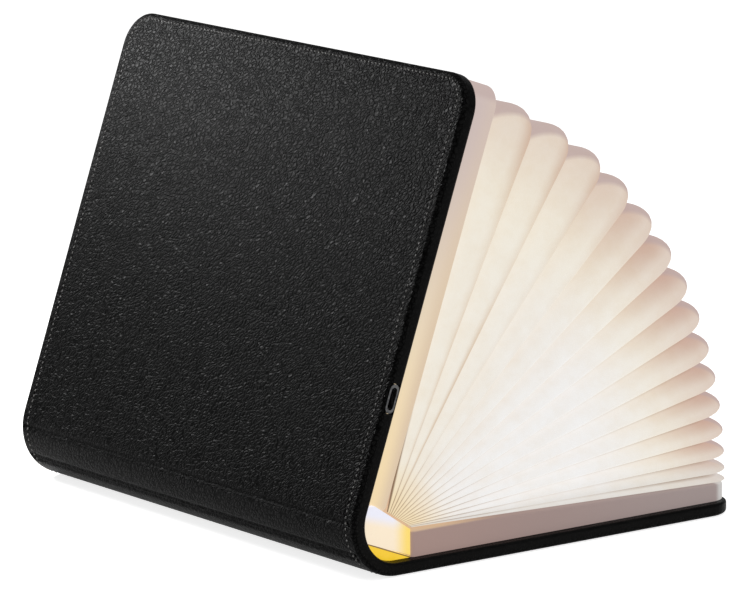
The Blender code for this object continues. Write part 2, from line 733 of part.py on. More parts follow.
def main():
    """Build the lamp, the back cover first."""
    clear_scene()
    build = Builder()
    finishes = {
        "leather": Finish("black_leather", (0.02, 0.02, 0.022), 0.45),
        "board": Finish("grey_board", (0.3, 0.29, 0.27), 0.9),
        "liner": Finish("black_liner", (0.03, 0.03, 0.03), 0.7),
        "paper": Finish("lit_paper", (1.0, 0.9, 0.78), 0.8, glow=0.6),
        "wall": Finish("page_wall_paper", (0.9, 0.76, 0.7), 0.8, glow=0.2),
        "diffuser": Finish("core_diffuser", (1.0, 0.87, 0.6), 0.5, glow=1.0),
        "light": Finish("light_strip", (1.0, 0.85, 0.45), 0.5, glow=3.0),
        "metal": Finish("plain_metal", (0.7, 0.7, 0.72), 0.35, 1.0),
        "circuit": Finish("circuit_board", (0.05, 0.22, 0.1), 0.5),
        "black_plastic": Finish("black_plastic", (0.02, 0.02, 0.02), 0.5),
        "bezel": Finish("port_bezel_metal", (0.75, 0.76, 0.78), 0.4, 1.0),
        "battery": Finish("battery_foil", (0.55, 0.56, 0.58), 0.35, 0.6),
    }
    back = build.frame("back_cover_axis", Matrix.Identity(3))
    turned_over = Matrix.Rotation(math.pi, 3, "X")
    front = build.frame("front_cover_axis", Matrix.Rotation(-REST_OPENING, 3, "Y") @ turned_over)

    cover(build, "back", back, finishes)
    page_wall(build, "back", back, finishes["wall"], BACK_WALL_FORE_HEIGHT, 0.0)
    batteries(build, back, finishes["battery"])
    magnets(build, "back", back, finishes["metal"])
    light_core(build, back, finishes)
    spine(build, back, finishes)
    leather, board, liner = cover(build, "front", front, finishes)
    wall = page_wall(
        build, "front", front, finishes["wall"], FRONT_WALL_FORE_HEIGHT, FRONT_WALL_ROOT_SLANT
    )
    magnets(build, "front", front, finishes["metal"])
    charge_port(build, front, finishes, leather, board, liner, wall)
    for number in range(FOLD_COUNT):
        page_fold(build, number, back, finishes["paper"])


main()
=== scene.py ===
"""Looks of the folding book lamp: finishes, fine surfaces, studio light and camera.

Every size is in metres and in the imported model's frame: +Z up, the lamp on its back
cover, the spine along Y and its near end at -Y. Shapes are first worked out round the
fold axis, which is where the two covers turn, and are then moved to the axis's place.
"""

import json
import logging
import math
from dataclasses import dataclass, field
from collections.abc import Callable
from enum import Enum

import bmesh
import bpy
import numpy as np
from mathutils import Matrix, Vector


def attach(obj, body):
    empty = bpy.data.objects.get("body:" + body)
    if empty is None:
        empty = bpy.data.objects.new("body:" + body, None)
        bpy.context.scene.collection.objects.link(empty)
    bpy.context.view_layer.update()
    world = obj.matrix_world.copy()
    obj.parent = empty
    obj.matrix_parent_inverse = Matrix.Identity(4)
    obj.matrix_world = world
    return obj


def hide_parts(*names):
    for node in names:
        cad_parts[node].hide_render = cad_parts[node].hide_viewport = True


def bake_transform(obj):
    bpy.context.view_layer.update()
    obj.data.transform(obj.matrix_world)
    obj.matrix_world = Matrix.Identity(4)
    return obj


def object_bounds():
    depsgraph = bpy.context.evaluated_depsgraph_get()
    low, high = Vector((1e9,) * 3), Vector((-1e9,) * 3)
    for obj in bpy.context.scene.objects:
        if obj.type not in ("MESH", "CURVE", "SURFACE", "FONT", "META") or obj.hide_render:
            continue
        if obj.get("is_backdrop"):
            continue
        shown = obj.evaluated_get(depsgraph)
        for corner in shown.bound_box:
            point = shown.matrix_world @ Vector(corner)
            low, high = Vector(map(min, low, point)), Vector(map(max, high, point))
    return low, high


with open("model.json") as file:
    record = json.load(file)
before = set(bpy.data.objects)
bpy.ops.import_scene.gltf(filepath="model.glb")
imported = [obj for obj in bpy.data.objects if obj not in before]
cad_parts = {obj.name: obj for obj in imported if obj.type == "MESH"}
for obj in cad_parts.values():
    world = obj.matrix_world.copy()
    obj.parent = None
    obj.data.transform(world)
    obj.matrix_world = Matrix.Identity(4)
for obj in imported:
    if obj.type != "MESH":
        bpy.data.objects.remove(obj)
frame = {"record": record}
CAD_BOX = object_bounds()

log = logging.getLogger("book_lamp")
MM = 0.001
SHARP = 50.0

# Names of the values that pieces keep on their points for their materials.
FLAT = "flat"
SEAM = "seam_distance"
REST = "rest_place"
GLOW = "glow"

Colour = tuple[float, float, float]
Pair = tuple[float, float]
Place = tuple[float, float, float]


class Body(str, Enum):
    """The two CAD bodies that a dressed piece can ride on."""

    BACK = "back_cover"
    FRONT = "front_cover"


def linear(colour: Colour) -> Colour:
    """Turn a screen colour into the renderer's linear colour.

    Args:
        colour: red, green and blue as shares of full, as a screen shows them.

    Returns:
        The same colour by the screen standard's inverse curve.
    """
    shares = np.asarray(colour, float)
    low, high = shares / 12.92, ((shares + 0.055) / 1.055) ** 2.4
    return tuple(float(v) for v in np.where(shares <= 0.04045, low, high))


class Sock:
    """A shader socket that takes part in plain arithmetic by adding Math nodes."""

    def __init__(self, tree: bpy.types.NodeTree, socket: bpy.types.NodeSocket) -> None:
        """Keep the tree and the output socket."""
        self.tree = tree
        self.socket = socket

    def _math(self, operation: str, *values: object) -> "Sock":
        """Add one Math node.

        Args:
            operation: the Math node's operation.
            values: its inputs in order, each a number or a Sock.

        Returns:
            The node's output.
        """
        made = self.tree.nodes.new("ShaderNodeMath")
        made.operation = operation
        for socket, value in zip(made.inputs, values):
            if isinstance(value, Sock):
                self.tree.links.new(value.socket, socket)
            else:
                socket.default_value = value
        return Sock(self.tree, made.outputs[0])

    def __add__(self, other: object) -> "Sock":
        """Add."""
        return self._math("ADD", self, other)

    __radd__ = __add__

    def __sub__(self, other: object) -> "Sock":
        """Subtract."""
        return self._math("SUBTRACT", self, other)

    def __rsub__(self, other: object) -> "Sock":
        """Subtract from a number."""
        return self._math("SUBTRACT", other, self)

    def __mul__(self, other: object) -> "Sock":
        """Multiply."""
        return self._math("MULTIPLY", self, other)

    __rmul__ = __mul__

    def __truediv__(self, other: object) -> "Sock":
        """Divide."""
        return self._math("DIVIDE", self, other)

    def __pow__(self, other: object) -> "Sock":
        """Raise to a power."""
        return self._math("POWER", self, other)

    def __abs__(self) -> "Sock":
        """Take the size without the sign."""
        return self._math("ABSOLUTE", self)

    def ramp(self, low: float, high: float) -> "Sock":
        """Add a smooth step.

        Args:
            low: the value that gives 0; it may be over high, for a falling step.
            high: the value that gives 1.

        Returns:
            The smooth share, 0 to 1, of the value's way from low to high.
        """
        made = self.tree.nodes.new("ShaderNodeMapRange")
        made.interpolation_type = "SMOOTHSTEP"
        self.tree.links.new(self.socket, made.inputs["Value"])
        made.inputs["From Min"].default_value = low
        made.inputs["From Max"].default_value = high
        return Sock(self.tree, made.outputs["Result"])


class Shader:
    """Builds one material's nodes round its Principled shader."""

    def __init__(self, name: str) -> None:
        """Start a material with a bare Principled shader.

        Args:
            name: the material's name.
        """
        self.material = bpy.data.materials.new(name)
        self.material.use_nodes = True
        self.tree = self.material.node_tree
        self.principled = self.tree.nodes["Principled BSDF"]

    def node(self, kind: str, settings: dict | None = None, **values: object) -> bpy.types.Node:
        """Add any node.

        Args:
            kind: the node's type name after ShaderNode.
            settings: properties that are set before its sockets.
            values: a number, colour or Sock for each socket, by its name with _ for a space.

        Returns:
            The new node.
        """
        made = self.tree.nodes.new("ShaderNode" + kind)
        for key, value in (settings or {}).items():
            setattr(made, key, value)
        for key, value in values.items():
            socket = made.inputs[key.replace("_", " ")]
            if isinstance(value, Sock):
                self.tree.links.new(value.socket, socket)
            else:
                socket.default_value = value
        return made

    def out(self, made: bpy.types.Node, name: str | int = 0) -> Sock:
        """Return a node's output as a Sock."""
        return Sock(self.tree, made.outputs[name])

    def place(self) -> Sock:
        """Return the piece's own Object coordinates."""
        return self.out(self.node("TexCoord"), "Object")

    def flat(self) -> Sock:
        """Return the piece's flat coordinates: along, across and depth in metres."""
        return self.kept(FLAT, "Vector")

    def axes(self) -> tuple[Sock, Sock, Sock]:
        """Return the Object coordinates as three numbers."""
        split = self.node("SeparateXYZ", Vector=self.place())
        return self.out(split, "X"), self.out(split, "Y"), self.out(split, "Z")

    def rest(self) -> tuple[Sock, Sock, Sock]:
        """Read the places that the points had at rest, which a pose doesn't change.

        Returns:
            The three coordinates.
        """
        split = self.node("SeparateXYZ", Vector=self.kept(REST, "Vector"))
        return self.out(split, "X"), self.out(split, "Y"), self.out(split, "Z")

    def noise(self, scale: float, detail: float = 2.0, rough: float = 0.5) -> Sock:
        """Return a noise share over the Object coordinates, scale in cells a metre."""
        made = self.node("TexNoise", Vector=self.place(), Scale=scale, Detail=detail, Roughness=rough)
        return self.out(made, "Fac")

    def mix(self, share: Sock | float, low: object, high: object) -> Sock:
        """Mix two colours.

        Args:
            share: the second colour's share, a number or a Sock.
            low: the first colour, a Sock or a screen colour.
            high: the second colour, a Sock or a screen colour.

        Returns:
            The mixed colour.
        """
        made = self.node("Mix", {"data_type": "RGBA"})
        for socket, value in ((made.inputs[0], share), (made.inputs[6], low), (made.inputs[7], high)):
            if isinstance(value, Sock):
                self.tree.links.new(value.socket, socket)
            elif isinstance(value, tuple):
                socket.default_value = (*linear(value), 1.0)
            else:
                socket.default_value = value
        return self.out(made, 2)

    def vector(self, operation: str, *values: Sock, **numbers: float) -> Sock:
        """Add a Vector Math node.

        Args:
            operation: the node's operation.
            values: its vector inputs in order.
            numbers: its plain inputs by name.

        Returns:
            The node's output.
        """
        made = self.node("VectorMath", {"operation": operation}, **numbers)
        for socket, value in zip(made.inputs, values):
            self.tree.links.new(value.socket, socket)
        return self.out(made)

    def scaled(self, colour: Sock, share: float) -> Sock:
        """Return a colour times a share."""
        return self.vector("SCALE", colour, Scale=share)

    def kept(self, name: str, output: str) -> Sock:
        """Return a value that the piece keeps on its points."""
        return self.out(self.node("Attribute", {"attribute_name": name}), output)

    def feed(self, **values: object) -> None:
        """Set or link the Principled shader's own sockets.

        Args:
            values: a number, colour or Sock for each socket, by its name with _ for a space.
        """
        for key, value in values.items():
            socket = self.principled.inputs[key.replace("_", " ")]
            if isinstance(value, Sock):
                self.tree.links.new(value.socket, socket)
            else:
                socket.default_value = value

    def bump(self, height: Sock, distance: float, strength: float = 1.0) -> None:
        """Feed a height, in shares of a distance in metres, to the Normal socket."""
        made = self.node("Bump", Height=height, Distance=distance, Strength=strength)
        self.feed(Normal=self.out(made, "Normal"))


@dataclass(frozen=True)
class Leather:
    """Fine-grained black leather with short wavy creases, smoother at its rim."""

    name: str = "black_grain_leather"
    # valley and crest colour the creases and the crests: painted crease shade and painted highlight
    # on black leather.
    valley: Colour = (0.0, 0.0, 0.0)
    crest: Colour = (0.098, 0.098, 0.098)
    cells: float = 830.0
    warp_cells: float = 1.7
    lean: float = 0.62
    stretch: float = 0.5
    crease_shares: Pair = (0.02, 0.24)
    crease_depth: float = 0.26 * MM
    broad_cells: float = 34.0
    roughness: float = 0.33
    gloss: float = 0.03
    rim_coat: float = 0.08
    rim_coat_roughness: float = 0.3
    rim_depth: float = 2.2 * MM
    seam_reach: float = 0.75 * MM

    def material(self) -> bpy.types.Material:
        """Make the leather: warped, drawn-out cells with pores, and painted shade along the seam.

        A crease's height is the distance from the nearest cell's edge, pores are a noise
        three times finer, and broad is a slow change over the hide. The grain fades at
        the rim, where the leather is drawn tight. The colour is lighter on the crests and
        black in the creases, which is painted highlight and crease shade, and it goes black
        at the seam, which is painted shade of the stitch channel.

        Returns:
            The material.
        """
        s = Shader(self.name)
        flat = s.flat()
        warp = s.node("TexNoise", Vector=flat, Scale=self.cells / 4, Detail=2.0)
        offset = s.vector("SCALE", s.out(warp, "Color"), Scale=self.warp_cells / self.cells)
        moved = s.vector("ADD", flat, offset)
        turned = s.node("Mapping", Vector=moved, Rotation=(0.0, 0.0, self.lean))
        drawn = s.node("Mapping", Vector=s.out(turned), Scale=(1.0, self.stretch, 1.0))
        edges = {"feature": "DISTANCE_TO_EDGE"}
        cells = s.node("TexVoronoi", edges, Vector=s.out(drawn), Scale=self.cells)
        crest = s.out(cells, "Distance").ramp(*self.crease_shares)
        fine = s.node("TexNoise", Vector=flat, Scale=self.cells * 3.0, Detail=2.0)
        pores = s.out(fine, "Fac")
        wide = s.node("TexNoise", Vector=flat, Scale=self.broad_cells, Detail=3.0)
        broad = s.out(wide, "Fac")
        split = s.node("SeparateXYZ", Vector=flat)
        rim = s.out(split, "Z").ramp(self.rim_depth * 0.4, self.rim_depth)
        grain = (crest * 0.8 + pores * 0.25) * (1 - rim * 0.7)
        s.bump(grain * (broad * 0.3 + 0.85), self.crease_depth, 0.9)
        # Painted light: lighter crests and black creases stand in for highlight and crease shade; the
        # pores and broad add the hide's own tone.
        grain_tone_and_painted_light = crest * 0.85 + pores * 0.2 + broad * 0.1 - 0.1
        # Painted shade: near the seam the colour goes black, for the shade of the stitch channel.
        clear = s.kept(SEAM, "Fac").ramp(self.seam_reach * 0.3, self.seam_reach)
        s.feed(
            Base_Color=s.mix(grain_tone_and_painted_light * clear * (1 - rim * 0.6), self.valley, self.crest),
            Roughness=self.roughness + pores * 0.1 - crest * 0.05 + broad * 0.03 - rim * 0.1,
            Specular_IOR_Level=self.gloss,
            Coat_Weight=rim * clear * self.rim_coat,
            Coat_Roughness=self.rim_coat_roughness,
        )
        return s.material


@dataclass(frozen=True)
class Thread:
    """Waxed black sewing thread."""

    name: str = "waxed_thread"
    dark: Colour = (0.24, 0.235, 0.23)
    light: Colour = (0.5, 0.49, 0.48)
    plies: float = 900.0
    ply_depth: float = 0.05 * MM

    def material(self) -> bpy.types.Material:
        """Make the thread: fine slanted plies over a dark core.

        Returns:
            The material.
        """
        s = Shader(self.name)
        slanted = {"bands_direction": "DIAGONAL"}
        ply = s.out(s.node("TexWave", slanted, Vector=s.place(), Scale=self.plies), "Fac")
        s.bump(ply, self.ply_depth, 0.5)
        s.feed(Base_Color=s.mix(ply, self.dark, self.light), Roughness=0.36 + ply * 0.15)
        return s.material


@dataclass(frozen=True)
class LitPaper:
    """The bellows' paper, lit from inside; the glow's colour is kept on its points."""

    name: str = "lit_bellows_paper"
    plain: Colour = (1.0, 1.0, 1.0)
    clouded: Colour = (0.97, 0.94, 0.9)
    base_share: float = 0.2
    glow_share: float = 0.84
    fibre_depth: float = 0.12 * MM

    def material(self) -> bpy.types.Material:
        """Make the paper: the glow times soft clouds, with fine fibres.

        Returns:
            The material.
        """
        s = Shader(self.name)
        clouds = s.noise(140.0, 6.0, 0.7)
        fibres = s.noise(900.0, 3.0, 0.7)
        shade = s.mix(clouds.ramp(0.3, 0.8) * 0.45, self.plain, self.clouded)
        colour = s.vector("MULTIPLY", s.kept(GLOW, "Color"), shade)
        s.bump(fibres * 0.4 + clouds * 0.6, self.fibre_depth, 0.35)
        s.feed(
            Base_Color=s.scaled(colour, self.base_share),
            Emission_Color=s.scaled(colour, self.glow_share),
            Emission_Strength=1.0,
            Roughness=0.75 + fibres * 0.15,
            Specular_IOR_Level=0.2,
        )
        return s.material


@dataclass(frozen=True)
class WallPaper:
    """Stiff page-wall paper that the lit bellows warms, more so toward the spine.

    root, middle and fore are its colours from the spine on, end_tint is the fore edge's,
    and shade is the colour that shade_levels fade it to, up or down the wall. direction
    points along the cover, and start, end and end_start are reaches from the fold axis.
    """

    name: str
    root: Colour
    middle: Colour
    fore: Colour
    direction: Pair
    axis: Pair
    end_tint: Colour
    end_start: float
    shade: Colour
    shade_levels: Pair
    glow_share: float
    base_share: float
    start: float = 10 * MM
    end: float = 155 * MM
    end_fade: float = 3 * MM
    layered: Colour = (0.7, 0.62, 0.6)
    layer_depth: float = 0.1 * MM

    def material(self) -> bpy.types.Material:
        """Make the paper: its colour runs from root to fore edge along one direction.

        Returns:
            The material.
        """
        s = Shader(self.name)
        x, _, z = s.rest()
        along = (x - self.axis[0]) * self.direction[0] + (z - self.axis[1]) * self.direction[1]
        lower = along.ramp(self.start, (self.start + self.end) / 2)
        upper = along.ramp(self.start + (self.end - self.start) * 0.3, self.end)
        level = (z - self.axis[1]) * self.direction[0] - (x - self.axis[0]) * self.direction[1]
        plain = s.mix(upper, s.mix(lower, self.root, self.middle), self.fore)
        body = s.mix(level.ramp(*self.shade_levels) * (1 - upper * 0.75), plain, self.shade)
        at_end = along.ramp(self.end_start, self.end_start + self.end_fade)
        colour = s.mix(at_end, body, self.end_tint)
        layers = s.noise(260.0, 3.0, 0.6)
        fibres = s.noise(1100.0, 2.0)
        s.bump(layers * 0.6 + fibres * 0.4, self.layer_depth, 0.3)
        s.feed(
            Base_Color=s.scaled(s.mix(layers * 0.18, colour, self.layered), self.base_share),
            Emission_Color=s.scaled(colour, self.glow_share),
            Emission_Strength=1.0,
            Roughness=0.7 + fibres * 0.2,
            Specular_IOR_Level=0.25,
        )
        return s.material


@dataclass(frozen=True)
class CoreGlow:
    """The milky core in the spine: lilac-white on top, warm below and yellow at its foot.

    The seam is the line where the height over the fold axis, plus seam_slope times the
    reach from it, is seam_level millimetres under zero.
    """

    name: str
    axis: Pair
    cool: Colour = (0.93, 0.93, 0.98)
    warm: Colour = (0.985, 0.915, 0.81)
    side: Colour = (0.99, 0.86, 0.44)
    floor: Colour = (0.97, 0.8, 0.2)
    seam: Colour = (0.42, 0.3, 0.12)
    seam_slope: float = 0.39
    seam_level: float = 4.9
    seam_shares: Pair = (0.32, 0.12)
    cool_slope: float = 0.3
    cool_heights: Pair = (2.0 * MM, 7.0 * MM)
    side_reaches: Pair = (5.5 * MM, 13.0 * MM)
    base_share: float = 0.25
    glow_share: float = 0.85

    def material(self) -> bpy.types.Material:
        """Make the glow, mixed by height and by distance from the spine.

        Returns:
            The material.
        """
        s = Shader(self.name)
        x, _, z = s.axes()
        height = z - self.axis[1]
        reach = x - self.axis[0]
        top = (height + reach * self.cool_slope).ramp(*self.cool_heights)
        sided = s.mix(reach.ramp(*self.side_reaches), s.mix(top, self.warm, self.cool), self.side)
        over = (height + reach * self.seam_slope) / MM + self.seam_level
        split = s.mix(over.ramp(0.1, -0.1), sided, self.floor)
        colour = s.mix(abs(over).ramp(*self.seam_shares), split, self.seam)
        clouds = s.noise(320.0, 2.0)
        s.bump(clouds, 0.05 * MM, 0.2)
        s.feed(
            Base_Color=s.scaled(colour, self.base_share),
            Emission_Color=s.scaled(colour, self.glow_share),
            Emission_Strength=1.0,
            Roughness=0.4 + clouds * 0.1,
        )
        return s.material


@dataclass(frozen=True)
class Grained:
    """A plain material with a fine grain in its colour, roughness and surface."""

    name: str
    dark: Colour
    light: Colour
    roughness: float
    metallic: float = 0.0
    cells: float = 800.0
    depth: float = 0.04 * MM
    stretch: Place = (1.0, 1.0, 1.0)
    glow: float = 0.0

    def material(self) -> bpy.types.Material:
        """Make the material: noise, drawn out along the axis of the least scale.

        Returns:
            The material.
        """
        s = Shader(self.name)
        spread = s.node("Mapping", Vector=s.place(), Scale=self.stretch)
        grain = s.node("TexNoise", Vector=s.out(spread), Scale=self.cells, Detail=3.0)
        share = s.out(grain, "Fac")
        colour = s.mix(share.ramp(0.3, 0.7), self.dark, self.light)
        s.bump(share, self.depth, 0.5)
        s.feed(Base_Color=colour, Roughness=self.roughness + share * 0.12, Metallic=self.metallic)
        if self.glow > 0:
            s.feed(Emission_Color=colour, Emission_Strength=self.glow)
        return s.material


def new_mesh(
    name: str, points: np.ndarray, faces: np.ndarray, merge: float = 0.0, turn: bool = True
) -> bpy.types.Object:
    """Make a smooth mesh object from arrays.

    Args:
        name: the piece's name.
        points: one row of three coordinates a point.
        faces: one row of four point numbers a face.
        merge: distance under which points are merged, or 0 for none.
        turn: turns the faces outward, for a closed surface.

    Returns:
        The object, linked to the scene.
    """
    mesh = bpy.data.meshes.new(name)
    mesh.from_pydata(points.reshape(-1, 3), [], faces.reshape(-1, 4))
    if turn:
        work = bmesh.new()
        work.from_mesh(mesh)
        if merge > 0:
            bmesh.ops.remove_doubles(work, verts=work.verts, dist=merge)
        bmesh.ops.recalc_face_normals(work, faces=work.faces)
        work.to_mesh(mesh)
        work.free()
    mesh.shade_smooth()
    made = bpy.data.objects.new(name, mesh)
    bpy.context.scene.collection.objects.link(made)
    return made


def grid_faces(rows: int, columns: int) -> np.ndarray:
    """Return the quads of a grid of points, numbered row by row.

    Args:
        rows: the number of rows.
        columns: the number of points in a row.

    Returns:
        One row of four point numbers a face.
    """
    index = np.arange(rows * columns).reshape(rows, columns)
    a, b = index[:-1, :-1], index[:-1, 1:]
    c, d = index[1:, 1:], index[1:, :-1]
    return np.stack((a, b, c, d), -1).reshape(-1, 4)


def ring_faces(rings: int, count: int) -> np.ndarray:
    """Return the quads of a tube of closed rings, with both ends closed by strips.

    Args:
        rings: the number of rings.
        count: the even number of points in a ring.

    Returns:
        One row of four point numbers a face; an end is strips from side to side.
    """
    faces = grid_faces(rings, count + 1)
    faces = (faces // (count + 1)) * count + (faces % (count + 1)) % count
    half = np.arange(count // 2 - 1)
    cap = np.stack((half, half + 1, count - 2 - half, count - 1 - half), -1)
    return np.vstack((faces, cap, cap[:, ::-1] + (rings - 1) * count))


def points_of(piece: bpy.types.Object) -> np.ndarray:
    """Read a mesh's points.

    Args:
        piece: a mesh object.

    Returns:
        One row of three coordinates a point.
    """
    flat = np.empty(len(piece.data.vertices) * 3, np.float32)
    piece.data.vertices.foreach_get("co", flat)
    return flat.reshape(-1, 3).astype(float)


def keep(piece: bpy.types.Object, name: str, values: np.ndarray) -> None:
    """Keep a value on each point of a piece for its material.

    Args:
        piece: a mesh object.
        name: the value's name.
        values: one number, one row of three coordinates or one row of four colour
            shares a point.
    """
    kinds = {1: ("FLOAT", "value"), 3: ("FLOAT_VECTOR", "vector"), 4: ("FLOAT_COLOR", "color")}
    kind, key = kinds[values.reshape(len(values), -1).shape[1]]
    store = piece.data.attributes.new(name, kind, "POINT")
    store.data.foreach_set(key, np.ascontiguousarray(values, np.float32).ravel())


def dress(piece: bpy.types.Object, material: bpy.types.Material, sharp: float) -> None:
    """Give a new piece its material and its sharp edges.

    Args:
        piece: the finished mesh.
        material: its material.
        sharp: the angle in degrees past which an edge is sharp.
    """
    piece.data.materials.clear()
    piece.data.materials.append(material)
    piece.data.set_sharp_from_angle(angle=math.radians(sharp))


def along_path(path: np.ndarray, at: np.ndarray, run: np.ndarray) -> np.ndarray:
    """Return the points of a flat path at given distances along it.

    Args:
        path: one row of two coordinates a point.
        at: the wanted distances.
        run: the distance along the path of each of its points.

    Returns:
        One row of two coordinates a distance, by straight shares between points.
    """
    return np.stack([np.interp(at, run, path[:, k]) for k in (0, 1)], -1)


def closed_run(outline: np.ndarray) -> tuple[np.ndarray, np.ndarray]:
    """Close an outline and measure it.

    Args:
        outline: one row of two coordinates a point.

    Returns:
        The outline with its first point again at its end, and each point's distance
        along it.
    """
    closed = np.vstack((outline, outline[:1]))
    steps = np.linalg.norm(np.diff(closed, axis=0), axis=1)
    return closed, np.concatenate(([0], np.cumsum(steps)))


@dataclass
class Plate:
    """A plate's outline: straight sides and quarter circles, in its own flat coordinates."""

    start: float
    end: float
    half: float
    start_corner: float
    end_corner: float
    stations: np.ndarray
    side_steps: int = 30
    corner_steps: int = 7
    merge: float = 0.002 * MM

    def sides(self, inset: float) -> tuple[np.ndarray, np.ndarray, np.ndarray, np.ndarray]:
        """Return the outline's four sides at an inset, each from corner to corner.

        A corner is a quarter circle about a centre that stays put, and its radius is the
        corner's less the inset. Half of each quarter belongs to each of its two sides.

        Args:
            inset: the distance from the plate's edge.

        Returns:
            The near, far, start and end sides as rows of two coordinates.
        """
        eighth_turn = math.pi / 4
        eighth = np.linspace(0, eighth_turn, self.corner_steps + 1)

        def corner(at_end: bool, far: bool, first: int) -> np.ndarray:
            """Draw half of one corner's quarter circle.

            Args:
                at_end: whether it is a corner at the plate's end.
                far: whether it is on the far side.
                first: the eighth turns, from the direction along, at which it starts.

            Returns:
                Rows of two coordinates.
            """
            size = self.end_corner if at_end else self.start_corner
            cx = self.end - size if at_end else self.start + size
            cy = self.half - size if far else size - self.half
            turned = first * eighth_turn + eighth
            radius = size - inset
            return np.stack((cx + radius * np.cos(turned), cy + radius * np.sin(turned)), -1)

        level = np.full_like(self.stations, self.half - inset)
        low = np.stack((self.stations, -level), -1)
        high = np.stack((self.stations, level), -1)
        shares = np.linspace(-1, 1, self.side_steps + 1)[1:-1]
        start_rows = shares * (self.half - self.start_corner)
        end_rows = shares * (self.half - self.end_corner)
        left = np.stack((np.full_like(shares, self.start + inset), start_rows), -1)
        right = np.stack((np.full_like(shares, self.end - inset), end_rows), -1)
        near = np.vstack((corner(False, False, 5), low, corner(True, False, 6)))
        far = np.vstack((corner(False, True, 2)[::-1], high, corner(True, True, 1)[::-1]))
        first = np.vstack((corner(False, False, 4)[::-1], left, corner(False, True, 3)[::-1]))
        last = np.vstack((corner(True, False, 7), right, corner(True, True, 0)))
        return near, far, first, last

    def loop(self, inset: float) -> np.ndarray:
        """Return the closed outline at an inset, near side first, then round."""
        near, far, first, last = self.sides(inset)
        return np.vstack((near[:-1], last[:-1], far[::-1][:-1], first[::-1][:-1]))

    def patch(self, inset: float) -> np.ndarray:
        """Return the grid that fills the outline at an inset.

        It is the sum of the straight blends between each two facing sides, less the
        blend of the four corners that both of them hold.

        Args:
            inset: the distance from the plate's edge.

        Returns:
            A grid of points with two coordinates each.
        """
        near, far, first, last = self.sides(inset)
        u = ((near[:, 0] - near[0, 0]) / (near[-1, 0] - near[0, 0]))[:, None, None]
        v = ((first[:, 1] - first[0, 1]) / (first[-1, 1] - first[0, 1]))[None, :, None]
        ruled = (1 - v) * near[:, None] + v * far[:, None]
        ruled = ruled + (1 - u) * first[None] + u * last[None]
        corners = (1 - u) * (1 - v) * near[0] + u * (1 - v) * near[-1]
        return ruled - corners - (1 - u) * v * far[0] - u * v * far[-1]

    def skin(self, name: str, rings: list[tuple[float, float]], place: Callable) -> bpy.types.Object:
        """Build a closed skin from one face, round its rim, to the other face.

        Args:
            name: the piece's name.
            rings: an inset and a level for each ring, from the first face's edge on.
            place: gives points for along, across and level arrays.

        Returns:
            The piece.
        """
        loops = np.stack([self.loop(inset) for inset, _ in rings])
        levels = np.array([level for _, level in rings])[:, None]
        rim = place(loops[..., 0], loops[..., 1], levels)
        grids = [np.concatenate((rim, rim[:, :1]), 1)]
        for inset, level in (rings[0], rings[-1]):
            fill = self.patch(inset)
            grids.append(place(fill[..., 0], fill[..., 1], np.array(level)))
        faces, count = [], 0
        for grid in grids:
            faces.append(grid_faces(*grid.shape[:2]) + count)
            count += grid.shape[0] * grid.shape[1]
        points = np.vstack([grid.reshape(-1, 3) for grid in grids])
        return new_mesh(name, points, np.vstack(faces), self.merge)


def quarter_round(radius: float, steps: int = 6) -> list[tuple[float, float]]:
    """Return the rings round an edge, from the face to the side.

    Args:
        radius: the edge's radius.
        steps: the number of rings.

    Returns:
        An inset from the side and a drop from the face for each ring.
    """
    turns = np.linspace(0, math.pi / 2, steps)
    return [(radius * (1 - math.sin(t)), radius * (1 - math.cos(t))) for t in turns]


